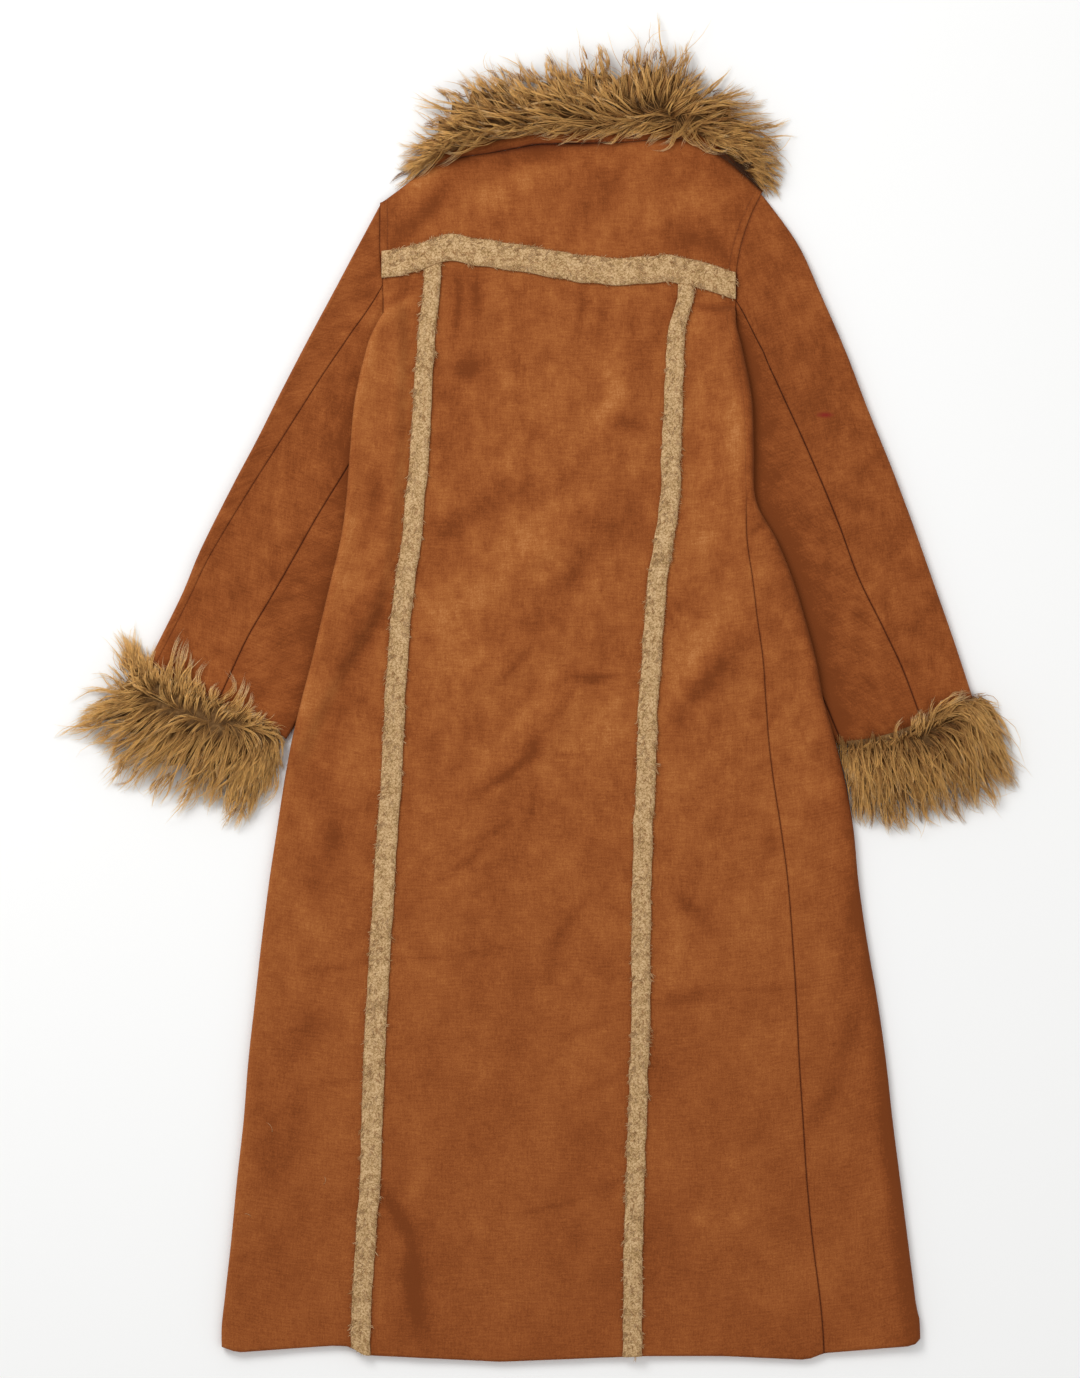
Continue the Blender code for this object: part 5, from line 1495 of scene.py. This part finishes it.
def outline_locks(roots, tips, draw):
    """Long locks from the middle of the mass to its outline: to each tip and valley, and between them."""
    all_roots, all_tips = lock_lines(roots, tips)
    short = draw.uniform(0.08, 0.34, (2 * len(all_tips) - 1, 1))
    fine_roots, fine_tips = between(all_roots), between(all_tips)
    short[::4] = 0.0
    fine_tips = fine_tips + short * (fine_roots - fine_tips)
    start = fine_roots + draw.uniform(0.3, 0.55, len(fine_roots))[:, None] * (fine_tips - fine_roots)
    bend = draw.normal(0, 0.06, len(fine_roots))
    return np.column_stack([start, fine_tips, bend])


print("A lock has", LOCK_STEPS, "steps and a hair has", HAIR_STEPS)

# %% [markdown]
# ## The fur collar and cuffs
#
# Each of the three is the same work with other tables: where the locks of the outline end, how the fur
# flows, where it is thin, and a few wisps that fall back over the cloth. The outline and the crown are the
# CAD model's. The undercoat fills a little less than the CAD solid, so the hair has room over it.

# %% Fur tables
COLLAR_CROWN, CUFF_CROWN, COLLAR_LIP, CUFF_LIP, ROOT_GAP = 40.0, 32.0, 5.0, 9.0, 1.8
LOCK_COLUMNS, FLOW_COLUMNS = "root across up", "across up angle length"
THIN_COLUMNS, WISP_COLUMNS = "across up radius", "across up tip_across tip_up bend"
COLLAR, CUFF_LEFT, CUFF_RIGHT = {}, {}, {}
COLLAR["locks"] = named(LOCK_COLUMNS, [
    (0.00, -136, 1244), (0.03, -140, 1256), (0.07, -128, 1280), (0.12, -122, 1313), (0.18, -111, 1343),
    (0.24, -89, 1360), (0.31, -59, 1371), (0.37, -36, 1363), (0.42, -10, 1369), (0.47, 7, 1382),
    (0.495, 24, 1358), (0.52, 42, 1393), (0.57, 62, 1388), (0.61, 92, 1381), (0.65, 119, 1400),
    (0.69, 136, 1393), (0.73, 156, 1383), (0.77, 172, 1353), (0.81, 220, 1335), (0.86, 248, 1298),
    (0.90, 256, 1279), (0.94, 258, 1258), (0.97, 255, 1240), (1.00, 247, 1219),
])
CUFF_LEFT["locks"] = named(LOCK_COLUMNS, [
    (-0.05, -426, 749), (-0.02, -435, 741), (0.03, -441, 729), (0.11, -466, 697), (0.16, -492, 674),
    (0.21, -500, 652), (0.28, -470, 636), (0.35, -465, 605), (0.43, -444, 594), (0.50, -419, 588),
    (0.58, -386, 563), (0.66, -356, 580), (0.73, -334, 555), (0.80, -319, 551), (0.86, -303, 568),
    (0.91, -288, 592), (0.95, -274, 624),
])
CUFF_RIGHT["locks"] = named(LOCK_COLUMNS, [
    (-0.01, 464, 697), (0.05, 477, 674), (0.10, 491, 650), (0.16, 508, 618), (0.23, 505, 595),
    (0.31, 484, 579), (0.38, 466, 573), (0.46, 447, 562), (0.55, 423, 558), (0.62, 404, 562),
    (0.70, 386, 552), (0.78, 366, 549), (0.85, 345, 556), (0.90, 334, 565), (0.93, 327, 598),
])
COLLAR["flow"] = named(FLOW_COLUMNS, [
    (-131, 1248, 190, 38), (-139, 1236, 204, 29), (-116, 1263, 186, 46), (-100, 1280, 174, 52),
    (-118, 1295, 162, 46), (-89, 1316, 146, 48), (-71, 1299, 166, 55), (-50, 1282, 182, 57),
    (-37, 1309, 162, 57), (-55, 1337, 132, 44), (-21, 1341, 122, 42), (0, 1326, 158, 57), (8, 1301, 176, 61),
    (23, 1347, 102, 42), (37, 1322, 150, 57), (40, 1295, 192, 52), (55, 1311, 138, 48), (55, 1358, 96, 46),
    (67, 1332, 122, 48), (76, 1284, 204, 48), (90, 1349, 98, 52), (97, 1372, 86, 50), (107, 1326, 100, 52),
    (116, 1295, 216, 38), (122, 1364, 84, 57), (139, 1343, 78, 57), (158, 1364, 72, 48), (143, 1311, 30, 46),
    (170, 1337, 44, 48), (185, 1343, 34, 48), (191, 1314, 12, 57), (212, 1297, 2, 52), (216, 1276, -4, 48),
    (228, 1261, -8, 42), (235, 1244, -20, 36), (242, 1230, -36, 29), (170, 1290, -14, 42),
    (134, 1295, 196, 36),
])
CUFF_LEFT["flow"] = named(FLOW_COLUMNS, [
    (-410, 728, 102, 48), (-433, 715, 124, 42), (-379, 722, 80, 60), (-368, 720, 74, 56), (-352, 705, 66, 24),
    (-320, 692, 60, 42), (-298, 677, 28, 32), (-277, 663, -14, 25), (-430, 694, 194, 63),
    (-454, 684, 202, 59), (-410, 677, 214, 59), (-430, 652, 222, 52), (-393, 656, 228, 59),
    (-410, 621, 234, 48), (-368, 650, 234, 59), (-376, 610, 238, 52), (-392, 722, 88, 24),
    (-340, 694, 62, 20), (-340, 646, 242, 55), (-351, 600, 240, 46), (-315, 646, 248, 55),
    (-319, 600, 246, 48), (-292, 639, 252, 48), (-298, 593, 250, 42), (-272, 644, 262, 42),
    (-280, 614, 258, 38),
])
CUFF_RIGHT["flow"] = named(FLOW_COLUMNS, [
    (326, 639, 276, 48), (328, 600, 282, 42), (357, 642, 274, 52), (357, 600, 280, 48), (388, 644, 285, 52),
    (388, 600, 286, 48), (420, 648, 284, 55), (420, 608, 290, 48), (447, 669, 290, 59), (452, 629, 291, 55),
    (472, 660, 300, 59), (485, 627, 296, 44), (467, 688, 306, 59), (443, 694, 322, 48), (412, 679, 52, 48),
    (430, 690, 42, 42), (397, 663, 84, 25), (378, 650, 268, 46), (456, 705, 22, 29),
])
COLLAR["thin"] = named(THIN_COLUMNS, [
    (-8, 1307, 13), (50, 1310, 9), (94, 1314, 15), (121, 1305, 10), (181, 1299, 15), (208, 1263, 13),
    (215, 1251, 8), (21, 1295, 10), (105, 1328, 7),
])
CUFF_LEFT["thin"] = named(THIN_COLUMNS, [
    (-420, 716, 13), (-412, 690, 15), (-394, 694, 10), (-334, 623, 9), (-308, 654, 13), (-357, 673, 8),
])
CUFF_RIGHT["thin"] = named(THIN_COLUMNS, [(323, 644, 6), (415, 657, 10), (467, 681, 8), (383, 650, 6)])
COLLAR["wisps"] = named(WISP_COLUMNS, [
    (105, 1305, 57, 1274, -0.2), (134, 1311, 86, 1276, -0.18), (158, 1305, 121, 1272, 0.15),
    (189, 1295, 168, 1265, 0.2), (215, 1282, 208, 1244, 0.15), (228, 1272, 235, 1223, 0.1),
    (-95, 1282, -138, 1238, 0.12), (-63, 1295, -114, 1254, 0.15), (176, 1300, 150, 1276, -0.2),
    (60, 1300, 20, 1283, -0.15), (-20, 1296, -62, 1278, -0.1), (-104, 1266, -132, 1243, -0.05),
    (-112, 1262, -142, 1238, -0.05), (-110, 1266, -156, 1250, 0.2), (-104, 1272, -150, 1262, -0.15),
    (-124, 1256, -148, 1234, 0.05), (-130, 1250, -154, 1231, 0.05), (-118, 1258, -139, 1237, -0.05),
    (228, 1246, 250, 1220, 0.05), (232, 1242, 256, 1219, 0.08), (224, 1242, 243, 1217, 0.04),
    (186, 1322, 232, 1336, -0.05), (190, 1316, 244, 1322, -0.04), (196, 1308, 250, 1308, 0.0),
    (182, 1320, 218, 1342, -0.05), (200, 1312, 238, 1316, 0.0), (196, 1304, 254, 1296, 0.0),
    (176, 1316, 206, 1345, -0.05), (140, 1300, 182, 1280, -0.35), (150, 1304, 206, 1272, -0.3),
    (16, 1338, 46, 1310, 0.5), (44, 1304, 22, 1332, -0.5), (64, 1322, 34, 1344, 0.45),
    (88, 1336, 66, 1304, -0.45), (104, 1350, 86, 1316, 0.4), (124, 1334, 98, 1304, -0.4),
])
CUFF_LEFT["wisps"] = named(WISP_COLUMNS, [
    (-388, 704, -372, 771, 0.1), (-380, 702, -370, 764, 0.12), (-372, 698, -368, 756, 0.1),
    (-394, 708, -378, 748, 0.1), (-364, 694, -362, 742, 0.14), (-330, 678, -309, 722, -0.1),
    (-324, 676, -306, 714, -0.12), (-318, 672, -303, 704, -0.14), (-300, 664, -292, 690, 0.4),
    (-410, 716, -400, 756, 0.1), (-414, 714, -406, 748, 0.1), (-418, 716, -423, 758, -0.12),
    (-350, 690, -346, 741, 0.3), (-344, 688, -330, 732, -0.5), (-338, 686, -334, 712, 0.4),
])
CUFF_RIGHT["wisps"] = named(WISP_COLUMNS, [
    (404, 664, 450, 711, -0.12), (420, 668, 454, 705, 0.12), (383, 654, 410, 689, -0.2),
    (357, 645, 378, 671, -0.25), (332, 641, 347, 663, -0.3), (436, 670, 466, 697, 0.14),
    (372, 650, 385, 676, 0.2), (320, 648, 321, 600, 0.04), (323, 646, 325, 588, -0.05),
    (327, 642, 331, 574, 0.05), (331, 640, 336, 566, -0.04), (318, 646, 318, 622, 0.05),
    (324, 632, 328, 566, 0.04), (312, 654, 315, 614, 0.0), (314, 652, 318, 602, 0.03),
    (316, 652, 321, 590, -0.03),
])
COLLAR["gap"] = named(WISP_COLUMNS, [
    (188, 1268, 212, 1247, 0.03), (196, 1263, 218, 1241, 0.02), (202, 1258, 226, 1234, 0.03),
    (208, 1252, 232, 1228, 0.02), (214, 1248, 238, 1222, 0.03), (206, 1258, 236, 1234, 0.1),
])
CUFF_LEFT["gap"] = CUFF_RIGHT["gap"] = named(WISP_COLUMNS, np.zeros((0, 5)))
COLLAR["edge"] = named(FLOW_COLUMNS, [
    (-140, 1247, 206, 22), (-114, 1266, 202, 24), (-98, 1275, 196, 22), (-80, 1282, 194, 24),
    (-60, 1286, 193, 28), (0, 1293, 192, 34), (30, 1292, 197, 36), (60, 1291, 203, 36), (110, 1292, 210, 34),
    (150, 1292, 216, 32), (164, 1290, 206, 14), (169, 1288, 336, 14), (186, 1283, 328, 26),
    (205, 1269, 326, 26), (216, 1260, 330, 22),
])
CUFF_LEFT["edge"] = named(FLOW_COLUMNS, [
    (-424, 730, 132, 12), (-406, 722, 96, 9), (-350, 694, 84, 9), (-310, 674, 60, 8), (-276, 658, 20, 8),
])
CUFF_RIGHT["edge"] = named(FLOW_COLUMNS, [
    (318, 642, 200, 7), (350, 644, 120, 7), (400, 660, 60, 10), (430, 676, 52, 14), (456, 692, 30, 16),
])
print("Locks of the outlines:", *(len(tables["locks"]["root"]) for tables in (COLLAR, CUFF_LEFT, CUFF_RIGHT)))

# %% Fur collar and cuffs
undercoat_finish = pile_ground("fur_undercoat", "#412d19", "#6e4f2e", "#977449", 5.0, 1.5)
fur_hair = hair_finish("fur_hair", "#aa7c42", "#ebba6c", "#fee8c0", "#bb9f86", "#553f2a", 0.6)
UNDERCOAT_REACH, UNDERCOAT_FULLNESS, MASS_REACH = 0.64, 0.66, 0.98
# How much lighter each fur piece's hairs are drawn: painted light on the left cuff, and a touch of painted
# shade on the right one.
EDGE_PITCH, FUR_PAINTED_LIGHT = 5.0, {"left_cuff": 0.5, "right_cuff": -0.04}
COLLAR_COUNTS, CUFF_COUNTS = (706, 6, 320, 12, 4), (620, 6, 230, 11, 4)


def undercoat(name, node, roots, tips, crown, lip, lip_height):
    """The closed cushion under the hair: flat below, with a lip over the cloth beside its roots."""
    top = fur_mass(roots, tips, crown, UNDERCOAT_REACH, UNDERCOAT_FULLNESS)
    top[..., 2] += 1.2 * ripple(top[..., 0], top[..., 1], 11.0, 61) * np.linspace(1, 0.2, len(top))[:, None]
    rim, start = top[:1].copy(), top[:1].copy()
    rim[..., :2] += 0.45 * lip
    rim[..., 2] = lip_height + 1.4
    start[..., 2] = np.maximum(start[..., 2], lip_height + 3.0)
    below = top.copy()
    below[..., 2] = np.where(np.arange(len(top)) < len(top) - 1, 0.0, TIP_UNDERSIDE)[:, None]
    below[0, :, 2] = lip_height
    rim_below, clear = rim.copy(), 0.12 * (top[1:2] - top[:1])
    rim_below[..., 2] = lip_height
    below[1:2, :, :2] = top[:1, :, :2] + np.maximum(clear, 0 * clear)[..., :2]
    points, used, faces = close_grids(
        np.concatenate([rim, start, top[1:]]), np.concatenate([rim_below, below]))
    piece = make_piece(name, points[used], faces, undercoat_finish, "fur", {})
    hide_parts(node)
    print(f"{name}: {2 * len(faces)} triangles")


def wisps(table, draw):
    """Loose strands that fall back over the cloth, three for each row: their ends and how far they bow."""
    *places, bend = table.values()
    jitter = draw.normal(0, (2.2, 1.5, 1.4, 2.4), (3, len(bend), 4)).transpose(2, 0, 1)
    ends = [(place + shift).ravel() for place, shift in zip(places, jitter)]
    return np.column_stack([*ends, np.tile(bend, 3)])


def edge_locks(table, draw):
    """Short locks all along the lower edge of the fur, which fall over the cloth beside it."""
    across = np.arange(table["across"][0], table["across"][-1], EDGE_PITCH)
    count = len(across)
    across = across + draw.normal(0, 1.5, count)
    here, up, angle, length = (np.interp(across, table["across"], values) for values in table.values())
    turn = np.radians(angle + draw.normal(0, 7, count))
    length = length * draw.uniform(0.6, 1.15, count)
    tips = [here + length * np.cos(turn), up + length * np.sin(turn)]
    return np.column_stack([here, up + draw.uniform(-2, 6, count), *tips, draw.normal(0, 0.2, count)])


def make_fur(name, node, seed, tables, ends, form, counts, inside, ground, keep_out=lambda path: path):
    """Undercoat and hair of one fur piece. The form is its crown, its lip's way and its lip's height."""
    roots, tips = ends
    crown, lip_way, lip_height = form
    undercoat(f"{name}_undercoat", node, roots, tips, *form)
    mass = fur_mass(roots, tips, crown, MASS_REACH, 1.0)
    lip = mass[:1] + np.array([[[*(0.8 * lip_way), 0.0]]])
    lip[..., 2] = lip_height + 3.0
    mass = np.concatenate([lip, mass])
    chart = height_map(mass, ground)
    draw = np.random.default_rng(seed + 1)
    outer = np.concatenate([outline_locks(roots, tips, draw), edge_locks(tables["edge"], draw)])
    falls = wisps(tables["wisps"], draw)
    paths, radius, shade = grow_fur(seed, mass, tables, outer, falls, counts, inside, chart, keep_out)
    # Painted light on the left cuff and a little painted shade on the right one.
    shade = np.clip(shade - FUR_PAINTED_LIGHT.get(name, 0.0), 0, 1)
    hairs(f"{name}_hair", paths, radius, fur_hair, "fur", shade, blunt=1.3)


def collar_ground(across, up):
    """Height of the cloth that the collar's wisps fall on: the under-collar, the yoke or the floor."""
    neck = curve(NECK, across)
    on_stand = (up > neck) & (up < neck + 16) & (across > COLLAR_BASE[0]) & (across < COLLAR_BASE[1])
    on_yoke = (up <= neck) & (up > 1130) & (across > armhole(up, -1)) & (across < armhole(up, 1))
    return np.where(on_stand, FLAT_HEIGHT + STAND_RISE + 1.5, np.where(on_yoke, FLAT_HEIGHT + 1.5, 0.0))


collar_across = COLLAR_BASE[0] + COLLAR["locks"]["root"] * (COLLAR_BASE[1] - COLLAR_BASE[0])
collar_up = curve(NECK, collar_across) + stand_width(collar_across) + ROOT_GAP
collar_ends = (
    np.column_stack([collar_across, collar_up]),
    np.column_stack([COLLAR["locks"]["across"], COLLAR["locks"]["up"]]),
)
collar_form = (COLLAR_CROWN, np.array([0.0, -COLLAR_LIP]), FLAT_HEIGHT + STAND_RISE + 0.4)
make_fur(
    "collar", "collar_fur", 71, COLLAR, collar_ends, collar_form, COLLAR_COUNTS, (12, 34), collar_ground)


def make_cuff(name, side, sleeve, tables, seed):
    """A cuff: its roots lie along the sleeve's end, and its hair stays outside the body's side."""
    start = np.array([sleeve["outer_across"][-1], sleeve["outer_up"][-1]])
    end = np.array([sleeve["inner_across"][-1], sleeve["inner_up"][-1]])
    width = np.linalg.norm(end - start)
    way = (end - start) / width
    inward = np.array([-way[1], way[0]]) * (1 if way[0] > 0 else -1)
    locks = tables["locks"]
    bow = end_bow(locks["root"])[:, None] * (side > 0)
    roots = start + locks["root"][:, None] * (end - start) - (SEAM_GAP + bow) * inward
    tips = np.column_stack([locks["across"], locks["up"]])
    top_of_sleeve = max(sleeve["fold"]) + 0.4

    def ground(across, up):
        to_inner = (across - start[0]) * way[0] + (up - start[1]) * way[1]
        up_sleeve = (across - start[0]) * inward[0] + (up - start[1]) * inward[1]
        on_sleeve = (up_sleeve > 0) & (to_inner > 0) & (to_inner < width)
        return np.where(on_sleeve, top_of_sleeve + 0.8, 0.0)

    def keep_out(path):
        line = side_line(at_height(path[..., 1]), side) + side * 1.2
        return np.stack([side * np.maximum(side * path[..., 0], side * line), path[..., 1]], axis=-1)

    ends, form = (roots, tips), (CUFF_CROWN, CUFF_LIP * inward, top_of_sleeve)
    make_fur(
        f"{name}_cuff", f"cuff_{name}", seed, tables, ends, form, CUFF_COUNTS, (2, 18), ground, keep_out)


make_cuff("left", -1, SLEEVE_LEFT, CUFF_LEFT, 81)
make_cuff("right", 1, SLEEVE_RIGHT, CUFF_RIGHT, 91)

# %% [markdown]
# ## Thread and lint
#
# A stitch line 8 mm inside each armhole holds the yoke's seam allowance flat. Each stitch is a short piece
# of thread with its own place in the groove. Three pale fibres of lint lie near the hem, as in the photo.

# %% Stitches
THREAD_RADIUS, STITCH, STITCH_PITCH, LINT_RADIUS = 0.3, 2.6, 3.6, 0.22
thread = hair_finish("brown_thread", "#6b3413", "#7c4119", "#6b3413", "#d6d0ca", "#c8c0b8", 0.7)


def armhole_stitches(side):
    """Stitches along an armhole: short paths at an even pitch, 8 mm inside its seam."""
    first = curve(YOKE_SEAM, armhole(1140.0, side)) + 18
    last = NECK["up"][0 if side < 0 else -1] - 4
    up = np.arange(first, last, STITCH_PITCH)[:, None] + np.linspace(0, STITCH, 4)
    across = armhole(up, side) - side * TOPSTITCH_IN
    height = FLAT_HEIGHT - 0.5 + ridges(YOKE_FOLDS, across, up) + 0.35 * ripple(across, up, 50.0, 5)
    return np.stack([across, up, height + 0.3 * np.sin(np.pi * np.linspace(0, 1, 4))], axis=-1)


stitches = np.concatenate([armhole_stitches(-1), armhole_stitches(1)])
hairs(
    "armhole_topstitching", stitches, np.full(len(stitches), THREAD_RADIUS), thread, "suede",
    np.zeros(len(stitches)), blunt=8.0,
)
lint_at = named("across up turn length", [(-227, 186, 40, 9), (-281, 241, 75, 12), (-303, 152, 110, 8)])
lint_share = np.linspace(0, 1, 6)
lint_turn = np.radians(lint_at["turn"])[:, None] + 0.8 * lint_share
lint_paths = np.stack([
    lint_at["across"][:, None] + lint_at["length"][:, None] * lint_share * np.cos(lint_turn),
    lint_at["up"][:, None] + lint_at["length"][:, None] * lint_share * np.sin(lint_turn),
], axis=-1)
lint_height = top_height(at_height(lint_paths[..., 1]), lint_paths[..., 0], lint_paths[..., 1]) + 0.3
lint_paths = np.concatenate([lint_paths, lint_height[..., None]], axis=-1)
hairs("lint", lint_paths, np.full(3, LINT_RADIUS), pile_hair, "pile", np.zeros(3))

# %% [markdown]
# ## Floor, camera and light
#
# The photo was taken straight down in soft light that comes mostly from the upper left. The camera hangs
# six metres over the coat with a long lens, so the coat's edges aren't seen from the side. The floor is
# plain and pale, under a large soft light, a weaker one from the right, and an even sky.

# %% Floor, camera and light
FLOOR_HALF, FLOOR_DROP = 6.0, 0.0005
floor_mesh = bpy.data.meshes.new("floor")
corners = [(FLOOR_HALF * x, FLOOR_HALF * y, -FLOOR_DROP) for x, y in ((-1, -1), (1, -1), (1, 1), (-1, 1))]
floor_mesh.from_pydata(corners, [], [(0, 1, 2, 3)])
floor_finish, floor_tree, floor_shader = new_material("pale_floor")
fill(floor_tree, floor_shader, {"Base Color": colour("#f4f4f3"), "Roughness": 0.9})
floor_mesh.materials.append(floor_finish)
put("floor", floor_mesh)

FRAME_HEIGHT, CAMERA_HEIGHT, SENSOR = 1.4469, 6.0, 36.0
camera_data = bpy.data.cameras.new("camera")
camera_data.sensor_width = SENSOR
camera_data.lens = SENSOR * CAMERA_HEIGHT / FRAME_HEIGHT
camera = put("camera", camera_data)
camera.location = (-0.0025, 0.0026, CAMERA_HEIGHT)
bpy.context.scene.camera = camera


def area_light(name, location, turn, size, power):
    """A square soft light that faces down and is then turned."""
    data = bpy.data.lights.new(name, "AREA")
    data.size, data.energy = size, power
    light = put(name, data)
    light.location, light.rotation_euler = location, turn


area_light("key_light", (-1.5, 1.7, 2.4), (-0.58, -0.53, 0.0), 1.6, 62.0)
area_light("fill_light", (1.9, -0.8, 2.6), (0.3, 0.6, 0.0), 2.4, 14.0)
world = bpy.data.worlds.new("studio")
world.use_nodes = True
fill(world.node_tree, world.node_tree.nodes["Background"], {"Color": (1.0, 1.0, 1.0, 1.0), "Strength": 0.62})
bpy.context.scene.world = world
bpy.context.scene.view_settings.view_transform = "Standard"

# %% Finish
pieces = [piece.data for piece in bpy.data.objects if piece.type == "MESH" and "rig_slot" in piece]
print("Triangles in all pieces:", sum(len(mesh.loops) - 2 * len(mesh.polygons) for mesh in pieces))
